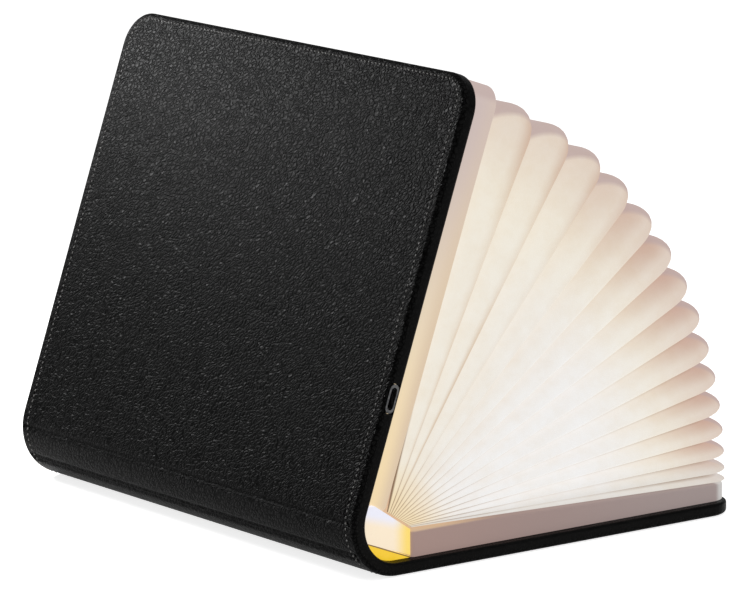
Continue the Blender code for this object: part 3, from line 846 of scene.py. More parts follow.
@dataclass
class FoldedCover:
    """Maps the flat cover to its place: flat on each board, round in the spine.

    Flat coordinates are the distance along the leather from the front fore edge, the
    distance along the spine, and the depth under the outer face. On a board the depth is
    taken from half the shut height, and in the spine from the spine's radius.
    """

    opening: float = math.radians(70.7)
    half_shut: float = 15.5 * MM
    reach: float = 163.5 * MM
    half_length: float = 105.0 * MM
    rim: float = 4.8 * MM
    spine_radius: float = 20.0 * MM
    corner: float = 11.0 * MM
    axis: Pair = field(init=False)

    def __post_init__(self) -> None:
        """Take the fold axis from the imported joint, and work out the spine's arc.

        Both boards touch the spine's circle at the distance tangent from the fold axis.
        """
        joints = frame["record"]["behaviour"]["joints"]
        place = next(j for j in joints if j["name"] == "cover_fold")["pos_m"]
        self.axis = (place[0], place[2])
        self.tangent = (self.spine_radius - self.half_shut) / math.tan(self.opening / 2)
        self.sweep = math.pi - self.opening
        self.straight = self.reach - self.tangent
        self.arc = self.spine_radius * self.sweep
        self.length = 2 * self.straight + self.arc

    def place(self, along: np.ndarray, across: np.ndarray, depth: np.ndarray) -> np.ndarray:
        """Fold flat coordinates: straight on each board, round the spine's centre between.

        Args:
            along: the distances along the leather.
            across: the places along the spine.
            depth: the depths under the outer face.

        Returns:
            Points in the frame, in the shape that the three arrays share.
        """
        along, across, depth = np.broadcast_arrays(along, across, depth)
        turned = np.clip((along - self.straight) / self.spine_radius, 0, self.sweep)
        angle = self.opening + math.pi / 2 + turned
        level = self.half_shut - depth
        front = np.stack(self.across_cover(self.reach - along, level), -1)
        centre_z = self.spine_radius - self.half_shut
        radius = self.spine_radius - depth
        bend = np.stack(
            (self.tangent + radius * np.cos(angle), centre_z + radius * np.sin(angle)), -1
        )
        back = np.stack((self.tangent + along - self.straight - self.arc, -level), -1)
        is_front = (along < self.straight)[..., None]
        is_back = (along > self.straight + self.arc)[..., None]
        flat = np.where(is_front, front, np.where(is_back, back, bend))
        return np.stack((flat[..., 0] + self.axis[0], across, flat[..., 1] + self.axis[1]), -1)

    def unroll(self, points: np.ndarray) -> np.ndarray:
        """Undo the fold for points near the cover.

        Args:
            points: points in the frame, one a row.

        Returns:
            One row of flat coordinates a point: along, across and depth.
        """
        x = points[:, 0] - self.axis[0]
        z = points[:, 2] - self.axis[1]
        cos, sin = math.cos(self.opening), math.sin(self.opening)
        bx, bz = x - self.tangent, z - (self.spine_radius - self.half_shut)
        angle = np.arctan2(bz, bx) % (2 * math.pi)
        along_front = x * cos + z * sin
        turned = (angle - self.opening - math.pi / 2) * self.spine_radius
        on_front = (along_front > self.tangent) & (angle < self.opening + math.pi / 2)
        on_back = ~on_front & (bx > 0)
        back_along = self.straight + self.arc + bx
        along = np.where(on_front, self.reach - along_front, self.straight + turned)
        along = np.where(on_back, back_along, along)
        depth = np.where(
            on_front, self.half_shut - (z * cos - x * sin), self.spine_radius - np.hypot(bx, bz)
        )
        depth = np.where(on_back, self.half_shut + z, depth)
        return np.stack((along, points[:, 1], depth), -1)

    def share(self, points: np.ndarray) -> np.ndarray:
        """Return each point's share of the front cover's turn."""
        return self.turn_share(self.unroll(points)[:, 0])

    def turn_share(self, along: np.ndarray) -> np.ndarray:
        """Return the share of the turn along the leather: 1 in front, 0 at the back."""
        return 1 - np.clip((along - self.straight) / self.arc, 0, 1)

    def across_cover(self, reach: np.ndarray, height: np.ndarray) -> tuple[np.ndarray, np.ndarray]:
        """Turn reaches and heights on the front cover into x and z round the fold axis.

        Args:
            reach: the distances from the fold axis along the cover.
            height: the distances from the axis's plane, outward over zero.

        Returns:
            The x and z coordinates, measured from the fold axis.
        """
        cos, sin = math.cos(self.opening), math.sin(self.opening)
        return reach * cos - height * sin, reach * sin + height * cos

    def mark(self, piece: bpy.types.Object) -> None:
        """Keep each point's flat coordinates on the piece for its material."""
        keep(piece, FLAT, self.unroll(points_of(piece)))


def bend_piece(piece: bpy.types.Object, shares: np.ndarray, book: FoldedCover) -> None:
    """Bake a piece's transform into its points; the fold's two sides are worked out but not used.

    Args:
        piece: the finished mesh.
        shares: not used.
        book: the cover's map, which gives the fold's two sides.
    """
    x, z = book.axis
    end_x, end_z = book.across_cover(book.reach, 0.0)
    start = (x + book.reach, 0.0, z - book.half_shut)
    end = (x + end_x, 0.0, z + end_z)
    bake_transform(piece)


@dataclass
class LeatherWrap:
    """The leather: one skin round both boards and the spine, turned in at the edges."""

    book: FoldedCover
    edge_round: float = 1.6 * MM
    inner_round: float = 1.0 * MM
    front_corner: float = 13.5 * MM
    front_extra: float = 0.2
    port_margin: float = 0.12 * MM
    thickness: float = 1.2 * MM
    turn_in: float = 9.0 * MM
    seam_fore_inset: float = 2.4 * MM
    seam_side_inset: float = 4.6 * MM
    seam_corner: float = 9.0 * MM
    seam_row_reach: float = 1.4 * MM
    seam_rows: int = 13
    groove_places: Pair = (5.9 * MM, 18.1 * MM)
    groove_fade: float = 1.5 * MM
    groove_depth: float = 0.75 * MM
    groove_width: float = 0.9 * MM
    flat_steps: int = 14
    bend_steps: int = 110
    plate: Plate = field(init=False)
    seam: Plate = field(init=False)

    def __post_init__(self) -> None:
        """Set the outlines of the leather and of its seam, close-set in the spine."""
        b = self.book
        first = np.linspace(self.front_corner, b.straight, self.flat_steps, endpoint=False)[1:]
        middle = np.linspace(b.straight, b.straight + b.arc, self.bend_steps, endpoint=False)
        last = np.linspace(b.straight + b.arc, b.length - b.corner, self.flat_steps + 1)[:-1]
        stations = np.concatenate((first, middle, last))
        self.plate = Plate(0.0, b.length, b.half_length, self.front_corner, b.corner, stations)
        self.seam = Plate(
            self.seam_fore_inset,
            b.length - self.seam_fore_inset,
            b.half_length - self.seam_side_inset,
            self.seam_corner,
            self.seam_corner,
            stations,
        )

    def groove(self, along: np.ndarray, across: np.ndarray) -> np.ndarray:
        """Return the creases' depth: a bell curve across each crease, faded at its ends.

        Args:
            along: the distances along the leather.
            across: the places along the spine.

        Returns:
            The depth at each point.
        """
        b = self.book
        dip = np.zeros(np.broadcast(along, across).shape)
        for place in self.groove_places:
            for line in (b.straight + place, b.straight + b.arc - place):
                dip = np.maximum(dip, np.exp(-(((along - line) / self.groove_width) ** 2)))
        edge = (b.half_length - self.edge_round - np.abs(across)) / self.groove_fade
        return self.groove_depth * dip * np.clip(edge, 0, 1)

    def place(self, along: np.ndarray, across: np.ndarray, depth: np.ndarray) -> np.ndarray:
        """Fold the leather, with the creases pressed in and the front cover thicker.

        Args:
            along: the distances along the leather.
            across: the places along the spine.
            depth: the depths under the outer face, as on the back cover.

        Returns:
            Points in the frame.
        """
        dip = np.where(depth < self.thickness / 2, self.groove(along, across), 0)
        thicker = 1 + self.front_extra * self.book.turn_share(along)
        return self.book.place(along, across, depth * thicker + dip)

    def seam_distance(self, flat: np.ndarray) -> np.ndarray:
        """Measure how far flat points are from the seam, a rectangle with round corners.

        Args:
            flat: flat coordinates, one row a point.

        Returns:
            The distances.
        """
        m = self.seam
        centre = np.array(((m.start + m.end) / 2, 0.0))
        half = np.array(((m.end - m.start) / 2, m.half)) - m.end_corner
        over = np.abs(flat[:, :2] - centre) - half
        outside = np.linalg.norm(np.maximum(over, 0), axis=1)
        return np.abs(outside + np.minimum(over.max(1), 0) - m.end_corner)

    def build(self) -> bpy.types.Object:
        """Build the skin: outer face, rim, turned-in leather, then back inside.

        Returns:
            The closed skin, before the port is cut.
        """
        deep = self.book.rim
        innermost = self.seam_side_inset + self.seam_row_reach
        rows = np.linspace(innermost, self.edge_round, self.seam_rows, endpoint=False)
        rings = [(inset, 0.0) for inset in rows]
        rings += quarter_round(self.edge_round)
        rings += [(i, deep - drop) for i, drop in quarter_round(self.inner_round)[::-1]]
        rings += [
            (self.turn_in, deep),
            (self.turn_in, deep - self.thickness),
            (self.thickness, deep - self.thickness),
            (self.thickness, self.thickness),
        ]
        return self.plate.skin("leather_wrap", rings, self.place)

    def cut_port(self, piece: bpy.types.Object) -> None:
        """Cut the charging port's opening through the near rim, round the bezel.

        Args:
            piece: the leather, which is cut in place.
        """
        bezel = points_of(bpy.data.objects["port_bezel"])
        centre = (bezel.max(0) + bezel.min(0)) / 2
        turn = Matrix.Rotation(-self.book.opening, 4, "Y")
        size = np.ptp((bezel - centre) @ np.array(turn.to_3x3()), axis=0) + 2 * self.port_margin
        size[1] = 2 * (self.book.half_length + centre[1] + self.thickness + self.turn_in / 4)
        work = bmesh.new()
        bmesh.ops.create_cube(work, size=1.0)
        scale = Matrix.Diagonal((*size, 1.0))
        move = Matrix.Translation(centre) @ turn @ scale
        bmesh.ops.transform(work, matrix=move, verts=work.verts)
        mesh = bpy.data.meshes.new("port_cutter")
        work.to_mesh(mesh)
        work.free()
        cutter = bpy.data.objects.new("port_cutter", mesh)
        bpy.context.scene.collection.objects.link(cutter)
        cut = piece.modifiers.new("port", "BOOLEAN")
        cut.operation = "DIFFERENCE"
        cut.object = cutter
        bpy.context.view_layer.update()
        evaluated = piece.evaluated_get(bpy.context.evaluated_depsgraph_get())
        done = bpy.data.meshes.new_from_object(evaluated)
        piece.modifiers.clear()
        piece.data = done
        done.name = piece.name
        bpy.data.objects.remove(cutter, do_unlink=True)

    def make(self, material: bpy.types.Material) -> bpy.types.Object:
        """Build, cut and dress the leather.

        Args:
            material: the leather's material.

        Returns:
            The finished piece.
        """
        piece = self.build()
        self.cut_port(piece)
        self.book.mark(piece)
        keep(piece, SEAM, self.seam_distance(self.book.unroll(points_of(piece))))
        dress(piece, material, SHARP)
        bend_piece(piece, self.book.share(points_of(piece)), self.book)
        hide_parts("back_cover_leather", "front_cover_leather", "spine_leather")
        return piece


@dataclass
class Stitching:
    """The row of separate stitches round the covers' and the spine's outer face."""

    wrap: LeatherWrap
    pitch: float = 2.15 * MM
    length: float = 1.25 * MM
    radius: float = 0.34 * MM
    slant: float = 0.22
    level: float = 0.12 * MM
    dive: float = 1.4
    least_share: float = 0.02
    look_ahead: float = 0.2 * MM
    rings: int = 7
    ring_points: int = 6

    def row(self) -> tuple[np.ndarray, np.ndarray]:
        """Work out the row of stitches along the seam.

        A stitch is a short bar that is round across and dives at both ends: its depth
        grows with the fourth power of the distance from its middle, and its thickness
        falls as the root of one minus the sixth power.

        Returns:
            The points and the quads.
        """
        closed, run = closed_run(self.wrap.seam.loop(0.0))
        count = int(run[-1] / self.pitch)
        at = (np.arange(count) + 0.5) * run[-1] / count
        centre = along_path(closed, at, run)
        tangent = along_path(closed, at + self.look_ahead, run) - centre
        tangent /= np.linalg.norm(tangent, axis=1, keepdims=True) + 1e-12
        side = np.stack((-tangent[:, 1], tangent[:, 0]), -1)
        tangent = tangent + side * self.slant
        share = np.linspace(-1, 1, self.rings)
        around = np.linspace(0, 2 * math.pi, self.ring_points, endpoint=False)
        slim = self.radius * np.sqrt(np.clip(1 - share**6, self.least_share, 1))
        ahead = share * self.length / 2
        aside = slim[:, None] * np.cos(around)
        dive = (share**4 * self.radius * self.dive)[:, None] + slim[:, None] * np.sin(around)
        flat = (
            centre[:, None, None]
            + ahead[None, :, None, None] * tangent[:, None, None]
            + aside[None, :, :, None] * side[:, None, None]
        )
        depth = np.broadcast_to(self.level + dive, flat.shape[:3])
        points = self.wrap.book.place(flat[..., 0], flat[..., 1], depth)
        bar = ring_faces(self.rings, self.ring_points)
        shift = (np.arange(count) * self.rings * self.ring_points)[:, None, None]
        return points.reshape(-1, 3), (bar[None] + shift).reshape(-1, 4)

    def make(self, material: bpy.types.Material) -> bpy.types.Object:
        """Build the row as one piece.

        Args:
            material: the thread's material.

        Returns:
            The finished piece.
        """
        piece = new_mesh("cover_stitches", *self.row())
        piece.data.materials.append(material)
        bend_piece(piece, self.wrap.book.share(points_of(piece)), self.wrap.book)
        return piece


@dataclass
class InnerLayers:
    """The layers inside the leather that bend: the spine's filler and the black lining."""

    wrap: LeatherWrap
    inset: float = 6.5 * MM
    rise: float = 0.12 * MM
    filler_overlap: float = 4.6 * MM
    filler_thickness: float = 2.2 * MM
    filler_corner: float = 2.0 * MM
    filler_steps: int = 40
    gap: float = 0.25 * MM

    def bend(self, piece: bpy.types.Object, material: bpy.types.Material, slot: str) -> None:
        """Mark and dress a layer, and bake its transform into its points.

        Args:
            piece: the layer.
            material: its material.
            slot: not used.
        """
        self.wrap.book.mark(piece)
        dress(piece, material, SHARP)
        bend_piece(piece, self.wrap.book.share(points_of(piece)), self.wrap.book)

    def lining(self, material: bpy.types.Material) -> bpy.types.Object:
        """Build the lining, from the boards to just above the turned-in leather.

        Args:
            material: the lining's material.

        Returns:
            The finished piece.
        """
        deep = self.wrap.book.rim
        hole = self.wrap.turn_in + self.rise
        rings = [
            (self.inset, deep + self.rise),
            (self.inset, deep + self.rise / 4),
            (hole, deep + self.rise / 4),
            (hole, deep - self.wrap.thickness + self.rise),
        ]
        piece = self.wrap.plate.skin("cover_lining", rings, self.wrap.book.place)
        self.bend(piece, material, "liner")
        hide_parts("back_cover_liner", "front_cover_liner", "spine_lining")
        return piece

    def filler(self, material: bpy.types.Material) -> bpy.types.Object:
        """Build the flexible filler between the spine's leather and its lining.

        Args:
            material: the filler's material.

        Returns:
            The finished piece.
        """
        b = self.wrap.book
        start = b.straight - self.filler_overlap
        end = b.straight + b.arc + self.filler_overlap
        half = b.half_length - self.wrap.thickness - self.gap
        corner = self.filler_corner
        stations = np.linspace(start + corner, end - corner, self.filler_steps)[1:-1]
        plate = Plate(start, end, half, corner, corner, stations)
        low = self.wrap.thickness + self.gap
        rings = [(0.0, low), (0.0, low + self.filler_thickness)]
        piece = plate.skin("spine_filler_band", rings, b.place)
        self.bend(piece, material, "board")
        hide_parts("spine_filler")
        return piece


@dataclass
class PageWall:
    """A stiff page wall: a hollow paper wedge, open to its cover and round at the fore edge.

    Its coordinates are the reach from the fold axis, the place along the spine and a
    level. A level over zero is a height over the cover, and any other is measured down
    from the page face.
    """

    book: FoldedCover
    name: str
    node: str
    root: float
    root_height: float
    fore_height: float
    root_slant: float = 0.0
    fore: float = 162.5 * MM
    half: float = 102.1 * MM
    corner: float = 8.5 * MM
    skin: float = 1.2 * MM
    edge_round: float = 0.8 * MM
    foot: float = 0.3 * MM
    root_round: float = 0.5 * MM
    slant_fade: float = 25.0 * MM
    bend_reach: float = 6.0 * MM
    bend_low: float = 3.6 * MM
    bend_high: float = 8.0 * MM
    steps: int = 40

    def lean(
        self, reach: np.ndarray, across: np.ndarray, level: np.ndarray
    ) -> tuple[np.ndarray, np.ndarray, np.ndarray]:
        """Turn levels into heights and lean the root back.

        The full height runs straight from the root's to the fore edge's, and the root
        leans by its slant at full height, less and less with the square of the way out.

        Args:
            reach: the distances from the fold axis along the cover.
            across: the places along the spine.
            level: the levels, as the class says.

        Returns:
            The leaned reaches, the same places and the heights over the cover.
        """
        share = (reach - self.root) / (self.fore - self.root)
        full = self.root_height + (self.fore_height - self.root_height) * share
        height = np.where(level > 0, level, full + level)
        fade = np.clip(1 - (reach - self.root) / self.slant_fade, 0, 1) ** 2
        return reach - self.root_slant * fade * height / self.root_height, across, height

    def back(self, reach: np.ndarray, across: np.ndarray, level: np.ndarray) -> np.ndarray:
        """Place the wall on the back cover.

        Args:
            reach: the distances from the fold axis along the cover.
            across: the places along the spine.
            level: the levels, as the class says.

        Returns:
            Points in the frame.
        """
        reach, across, height = self.lean(reach, across, level)
        b = self.book
        z = b.axis[1] - b.half_shut + b.rim + height
        return np.stack(np.broadcast_arrays(b.axis[0] + reach, across, z), -1)

    def front(self, reach: np.ndarray, across: np.ndarray, level: np.ndarray) -> np.ndarray:
        """Place the wall on the front cover.

        Args:
            reach: the distances from the fold axis along the cover.
            across: the places along the spine.
            level: the levels, as the class says.

        Returns:
            Points in the frame.
        """
        reach, across, height = self.lean(reach, across, level)
        b = self.book
        x, z = b.across_cover(reach, b.half_shut - b.rim - height)
        return np.stack(np.broadcast_arrays(b.axis[0] + x, across, b.axis[1] + z), -1)

    def front_share(self, points: np.ndarray) -> np.ndarray:
        """Work out how far each point of the front wall follows the front cover.

        Next to the cover, past bend_high from the fold axis's plane, it follows fully.
        Nearer to that plane than bend_low, its share grows smoothly from nothing at the
        root to all at bend_reach further out, because the core stands still there.

        Args:
            points: the wall's points in the frame.

        Returns:
            The share of the turn for each point.
        """
        b = self.book
        x, z = points[:, 0] - b.axis[0], points[:, 2] - b.axis[1]
        cos, sin = math.cos(b.opening), math.sin(b.opening)
        reach, n = x * cos + z * sin, z * cos - x * sin
        height = b.half_shut - b.rim - n
        line = self.root - self.root_slant * height / self.root_height
        away = np.clip((reach - line) / self.bend_reach, 0, 1)
        near_cover = np.clip((n - self.bend_low) / (self.bend_high - self.bend_low), 0, 1)
        return 1 - (1 - away * away * (3 - 2 * away)) * (1 - near_cover)

    def make(self, material: bpy.types.Material, on_front: bool) -> bpy.types.Object:
        """Build the wall on one cover, and hang the back one on the back cover's body.

        Args:
            material: the wall's material.
            on_front: whether it sits on the front cover.

        Returns:
            The finished piece.
        """
        root_corner = self.skin + self.root_round
        stations = np.linspace(self.root + root_corner, self.fore - self.corner, self.steps)
        plate = Plate(self.root, self.fore, self.half, root_corner, self.corner, stations[1:-1])
        rings = [(i, -drop) for i, drop in quarter_round(self.edge_round)]
        rings += [(0.0, self.foot), (self.skin, self.foot), (self.skin, -self.skin)]
        piece = plate.skin(self.name, rings, self.front if on_front else self.back)
        dress(piece, material, SHARP)
        points = points_of(piece)
        keep(piece, REST, points)
        if on_front:
            bend_piece(piece, self.front_share(points), self.book)
        else:
            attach(piece, Body.BACK.value)
        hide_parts(self.node)
        return piece


@dataclass
class CoreEnds:
    """The light core's two end caps and the base below its seam."""

    book: FoldedCover
    crest: Pair = (-1.7 * MM, 10.3 * MM)
    toe: Pair = (13.8 * MM, -0.1 * MM)
    heel_level: float = -10.35 * MM
    seam_toe: float = -9.6 * MM
    seam_drop: float = 2.1 * MM
    seam_gap: float = 0.3 * MM
    end: float = 102.0 * MM
    cap_thickness: float = 2.6 * MM
    edge_round: float = 0.35 * MM
    spine_gap: float = 0.35 * MM
    edge_share: float = 0.3
    arc_steps: int = 26
    outline_points: int = 160
    sharp: float = 35.0

    def section(self, base: bool) -> np.ndarray:
        """Draw the outline of the caps or of the base round the fold axis.

        It is flats between the tips, then the arc inside the spine. Points are spread
        evenly along it, and the nearest one to each corner is moved onto the corner.

        Args:
            base: whether it is the base, below the seam.

        Returns:
            One row of two coordinates a point.
        """
        b = self.book
        centre = np.array((b.tangent, b.spine_radius - b.half_shut))
        radius = b.spine_radius - b.rim - self.spine_gap
        seam = math.pi + math.asin((centre[1] + self.seam_drop) / radius)
        if base:
            turns = np.linspace(seam + 2 * self.seam_gap / radius, 1.5 * math.pi, self.arc_steps)
            tips = [(self.toe[0], self.heel_level), (self.toe[0], self.seam_toe - self.seam_gap)]
        else:
            first = math.pi - math.asin((self.crest[1] - centre[1]) / radius)
            turns = np.linspace(first, seam, self.arc_steps)
            tips = [(self.toe[0], self.seam_toe), self.toe, self.crest]
        arc = centre + radius * np.stack((np.cos(turns), np.sin(turns)), -1)
        outline = np.vstack((tips, arc))
        closed, run = closed_run(outline)
        at = np.linspace(0, run[-1], self.outline_points, endpoint=False)
        even = along_path(closed, at, run)
        near = np.abs(at[:, None] - run[None, :-1]).argmin(0)
        even[near] = outline
        return even

    def bar(self, outline: np.ndarray, low: float, high: float) -> tuple[np.ndarray, np.ndarray]:
        """Draw a bar: rings along Y that draw in toward the outline's middle at both ends.

        Args:
            outline: the bar's section round the fold axis.
            low: where the bar starts along Y.
            high: where it ends.

        Returns:
            The points and the quads.
        """
        edge, small = self.edge_round, self.edge_round * self.edge_share
        insets = np.array((edge, small, 0.0, 0.0, small, edge))[:, None, None]
        y = np.array((low, low + small, low + edge, high - edge, high - small, high))
        middle = outline.mean(0)
        away = outline - middle
        flat = middle + away * (1 - insets / np.linalg.norm(away, axis=1, keepdims=True))
        level = np.broadcast_to(y[:, None], flat.shape[:2])
        x, z = flat[..., 0] + self.book.axis[0], flat[..., 1] + self.book.axis[1]
        return np.stack((x, level, z), -1).reshape(-1, 3), ring_faces(len(y), len(outline))

    def make(self, material: bpy.types.Material) -> bpy.types.Object:
        """Build the caps and the base as one moulding.

        Args:
            material: the core's material.

        Returns:
            The finished piece.
        """
        cap, base = self.section(False), self.section(True)
        parts = [
            self.bar(cap, -self.end, self.cap_thickness - self.end),
            self.bar(cap, self.end - self.cap_thickness, self.end),
            self.bar(base, -self.end, self.end),
        ]
        faces, count = [], 0
        for points, quads in parts:
            faces.append(quads + count)
            count += len(points)
        piece = new_mesh("core_ends", np.vstack([p for p, _ in parts]), np.vstack(faces))
        dress(piece, material, self.sharp)
        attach(piece, Body.BACK.value)
        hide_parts("core_cap_near", "core_cap_far", "core_base")
        return piece


@dataclass
class Bellows:
    """The paper bellows: fifteen lobes between the page walls, closed on three sides.

    A fold line is a straight line from the light core to the fore edge. Its angle at the
    fore edge grows with a power of its number, because the lobes sag. Between two lines
    the paper bows outward: it is drawn in by the fold depth times one minus the height of
    a half ellipse over the lobe's width. ridge_lean is the power that moves the ellipse's
    top toward the back side, and root_depth_share is the depth left at the core.
    """

    book: FoldedCover
    folds: int = 15
    sag: float = 1.573
    depth: float = 9.2 * MM
    root_depth_share: float = 0.07
    root_depth_power: float = 0.8
    corner: float = 9.0 * MM
    half_length: float = 102.2 * MM
    reach: float = 163.9 * MM
    recess: float = 4.3 * MM
    ridge_lean: float = 0.8
    back_angle: float = math.radians(-1.43)
    front_angle: float = math.radians(68.9)
    last_angle: float = math.radians(69.95)
    root_toe: Pair = (14.3 * MM, 0.45 * MM)
    root_crest: Pair = (3.7 * MM, 7.5 * MM)
    across_steps: int = 16
    end_steps: int = 16
    end_power: float = 1.2
    corner_steps: int = 12
    fore_steps: int = 14
    sharp: float = 80.0
    white: Colour = (0.972, 0.968, 0.965)
    cream: Colour = (0.965, 0.935, 0.87)
    # pink is the tips' dimmer glow, painted light.
    pink: Colour = (0.79, 0.655, 0.605)
    # tan is painted shade on each lobe's shaded flank.
    tan: Colour = (0.83, 0.72, 0.6)
    amber: Colour = (0.98, 0.9, 0.74)
    grey: Colour = (0.88, 0.865, 0.845)
    # edge is painted shade where the paper turns round the corner to the fore edge.
    edge: Colour = (0.76, 0.68, 0.67)
    # line is painted shade in the valleys between the lobes.
    line: Colour = (0.56, 0.46, 0.37)
    line_width: float = 0.36 * MM
    line_growth: float = 0.3 * MM
    # darker_lobe and darker_width pick the lobe whose flank gets deeper painted shade near the root.
    darker_lobe: float = 13.5
    darker_width: float = 0.6

    def lines(self, place: np.ndarray) -> tuple[np.ndarray, np.ndarray, np.ndarray]:
        """Draw fold lines round the fold axis.

        Args:
            place: the lines' numbers from 0 at the back cover, or places between them.

        Returns:
            The lines' roots, their tips and their tips' angles.
        """
        share = place / self.folds
        toe, crest = np.array(self.root_toe), np.array(self.root_crest)
        root = toe + (crest - toe) * share[..., None]
        sagged = share**self.sag
        angle = self.back_angle + (self.front_angle - self.back_angle) * sagged
        last = np.clip(place - self.folds + 1, 0, 1)
        angle = angle + (self.last_angle - self.front_angle) * last
        radius = self.reach - self.recess * sagged
        tip = np.stack((np.cos(angle), np.sin(angle)), -1) * radius[..., None]
        return root, tip, angle

    def rim(self) -> tuple[np.ndarray, np.ndarray, np.ndarray, np.ndarray]:
        """Spread the stations round the rim: near side, corner, fore edge and back.

        Returns:
            For each station the share of the straight run out from the core, the sine of
            its turn round the corner, the share of the half length and the cosine.
        """
        near = np.linspace(0, 1, self.end_steps, endpoint=False) ** self.end_power
        turned = np.linspace(0, math.pi / 2, self.corner_steps + 1)
        fore = np.linspace(-1, 1, self.fore_steps + 1)[1:-1]
        ones = np.ones_like(turned)
        run = np.concatenate((near, ones, np.ones_like(fore), ones, near[::-1]))
        run_turn = np.concatenate(
            (near * 0, np.sin(turned), np.ones_like(fore), np.sin(turned)[::-1], near * 0)
        )
        side = np.concatenate((-np.ones_like(near), -ones, fore, ones, np.ones_like(near)))
        side_turn = np.concatenate(
            (-np.ones_like(near), -np.cos(turned), fore * 0, np.cos(turned)[::-1], np.ones_like(near))
        )
        return run, run_turn, side, side_turn

    def colours(
        self,
        across: np.ndarray,
        lobe: np.ndarray,
        run: np.ndarray,
        gap: np.ndarray,
        turn: np.ndarray,
    ) -> np.ndarray:
        """Return the glow over the paper, from the middle's white to the tips' pink. It
        holds painted shade too: tan on one flank of each lobe, dark lines in the valleys
        and darker paper where it turns round the corner to the fore edge.

        Args:
            across: the place over each lobe, 0 on its back side and 1 on its front side.
            lobe: the place over the whole bellows, 0 at the back cover and 1 at the front.
            run: the share of the way from the core to the fore edge.
            gap: the distance from the nearest valley along the lobe's width.
            turn: the sine of the paper's turn round the corner to the fore edge.

        Returns:
            Linear colours, one row a point.
        """

        def ramp(v: np.ndarray, low: float, high: float) -> np.ndarray:
            """Return the smooth share of the way from low to high, as one more axis."""
            t = np.clip((v - low) / (high - low), 0, 1)
            return (t * t * (3 - 2 * t))[..., None]

        def mix(a: np.ndarray, colour: Colour, share: np.ndarray | float) -> np.ndarray:
            """Mix a screen colour into a field of linear colours."""
            return a * (1 - share) + np.array(linear(colour)) * share

        upper = ramp(lobe, 0.5, 1.0)
        tips = ramp(run, 0.62, 1.0)
        front_lobes = ramp(lobe, 0.62, 0.88)
        shaded = ramp(across, 0.55, 0.0) * front_lobes + ramp(across, 0.45, 1.0) * (1 - front_lobes)
        # Painted shade: one lobe near the root gets a deeper tan flank.
        off = (lobe * self.folds - self.darker_lobe) / self.darker_width
        second = np.exp(-(off**2))[..., None] * ramp(run, 0.75, 0.3)
        # Painted shade: tan on each lobe's shaded flank, more at the tips and on the upper lobes.
        painted_flank_shade = np.clip(shaded * (0.1 + 0.3 * upper + 0.5 * tips + second), 0, 1)
        # Painted light: the tips' dimmer pink glow, deeper on the shaded flank.
        pink_tip_glow = ramp(run, 0.74, 1.0) * (0.5 + 0.5 * shaded) * (1 - 0.35 * upper)
        colour = mix(np.array(linear(self.white)), self.cream, upper * 0.75)
        colour = mix(colour, self.cream, ramp(run, 0.55, 0.85) * 0.8)
        colour = mix(colour, self.amber, ramp(run, 0.16, 0.0))
        colour = mix(colour, self.tan, painted_flank_shade)
        colour = mix(colour, self.pink, pink_tip_glow)
        # Painted shade: darker where the paper turns round the corner to the fore edge.
        colour = mix(colour, self.edge, ramp(turn, 0.47, 0.72) * 0.85)
        colour = mix(colour, self.grey, ramp(lobe, 0.2, 0.04) * 0.75)
        # Painted shade: a dark line along each valley, where one lobe hides the next.
        width = self.line_width + self.line_growth * np.clip(run * 2 - 1, 0, 1)
        inside = np.minimum(across, 1 - across)
        clear = np.maximum(ramp(gap / width, 0.2, 1.0), ramp(inside, 0.04, 0.3))
        faint = 0.75 - 0.5 * ramp(run, 0.12, 0.4) + 0.4 * ramp(run, 0.45, 0.85) + 0.3 * upper
        return mix(colour, self.line, (1 - clear) * np.clip(faint, 0, 1))

    def widths(self, place: np.ndarray, run: np.ndarray) -> np.ndarray:
        """Measure the lobes' widths between their two fold lines.

        Args:
            place: the places over the bellows, in lobes from the back cover.
            run: the shares of the way from the core to the fore edge.

        Returns:
            One row a place: its lobe's width at each share, root to tip in proportion.
        """
        first = np.clip(np.floor(place), 0, self.folds - 1)
        low, high = self.lines(first), self.lines(first + 1)
        root = np.linalg.norm(high[0] - low[0], axis=1)[:, None]
        tip = np.linalg.norm(high[1] - low[1], axis=1)[:, None]
        return root + (tip - root) * run

    def make(self, material: bpy.types.Material) -> bpy.types.Object:
        """Build the bellows and colour it.

        Its rows are places over the lobes, set close at the valleys, and its columns are
        the stations round the rim.

        Args:
            material: the paper's material.

        Returns:
            The finished piece.
        """
        local = (1 - np.cos(np.linspace(0, math.pi, self.across_steps + 1))) / 2
        place = (np.arange(self.folds)[:, None] + local[None, :-1]).ravel()
        place = np.append(place, self.folds)
        across = np.append(np.tile(local[:-1], self.folds), 1.0)
        arch = np.sqrt(np.clip(1 - (2 * across**self.ridge_lean - 1) ** 2, 0, 1))
        root, tip, angle = self.lines(place)
        run, run_turn, side, side_turn = self.rim()
        span = np.linalg.norm(tip - root, axis=1)[:, None]
        heading = (tip - root) / span
        inset = self.depth * (1 - arch)[:, None]
        open_share = (1 - self.root_depth_share) * run**self.root_depth_power
        drawn = inset * (self.root_depth_share + open_share)
        reach = (span - self.corner - inset) * run + self.corner * run_turn
        level = (self.half_length - drawn - self.corner) * side + self.corner * side_turn
        flat = root[:, None] + heading[:, None] * reach[..., None]
        x, z = flat[..., 0] + self.book.axis[0], flat[..., 1] + self.book.axis[1]
        rows, columns = level.shape
        piece = new_mesh(
            "page_bellows", np.stack((x, level, z), -1), grid_faces(rows, columns), turn=False
        )
        run_share = reach / span
        gap = np.minimum(across, 1 - across)[:, None] * self.widths(place, run_share)
        fields = np.broadcast_arrays(
            across[:, None], (place / self.folds)[:, None], run_share, gap, run_turn
        )
        colours = self.colours(*fields).reshape(-1, 3)
        keep(piece, GLOW, np.column_stack((colours, np.ones(len(colours)))))
        dress(piece, material, self.sharp)
        turned = (angle - angle[0]) / (angle[-1] - angle[0])
        bend_piece(piece, np.repeat(turned, columns), self.book)
        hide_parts(*[f"page_fold_{n + 1:02d}" for n in range(self.folds)])
        return piece


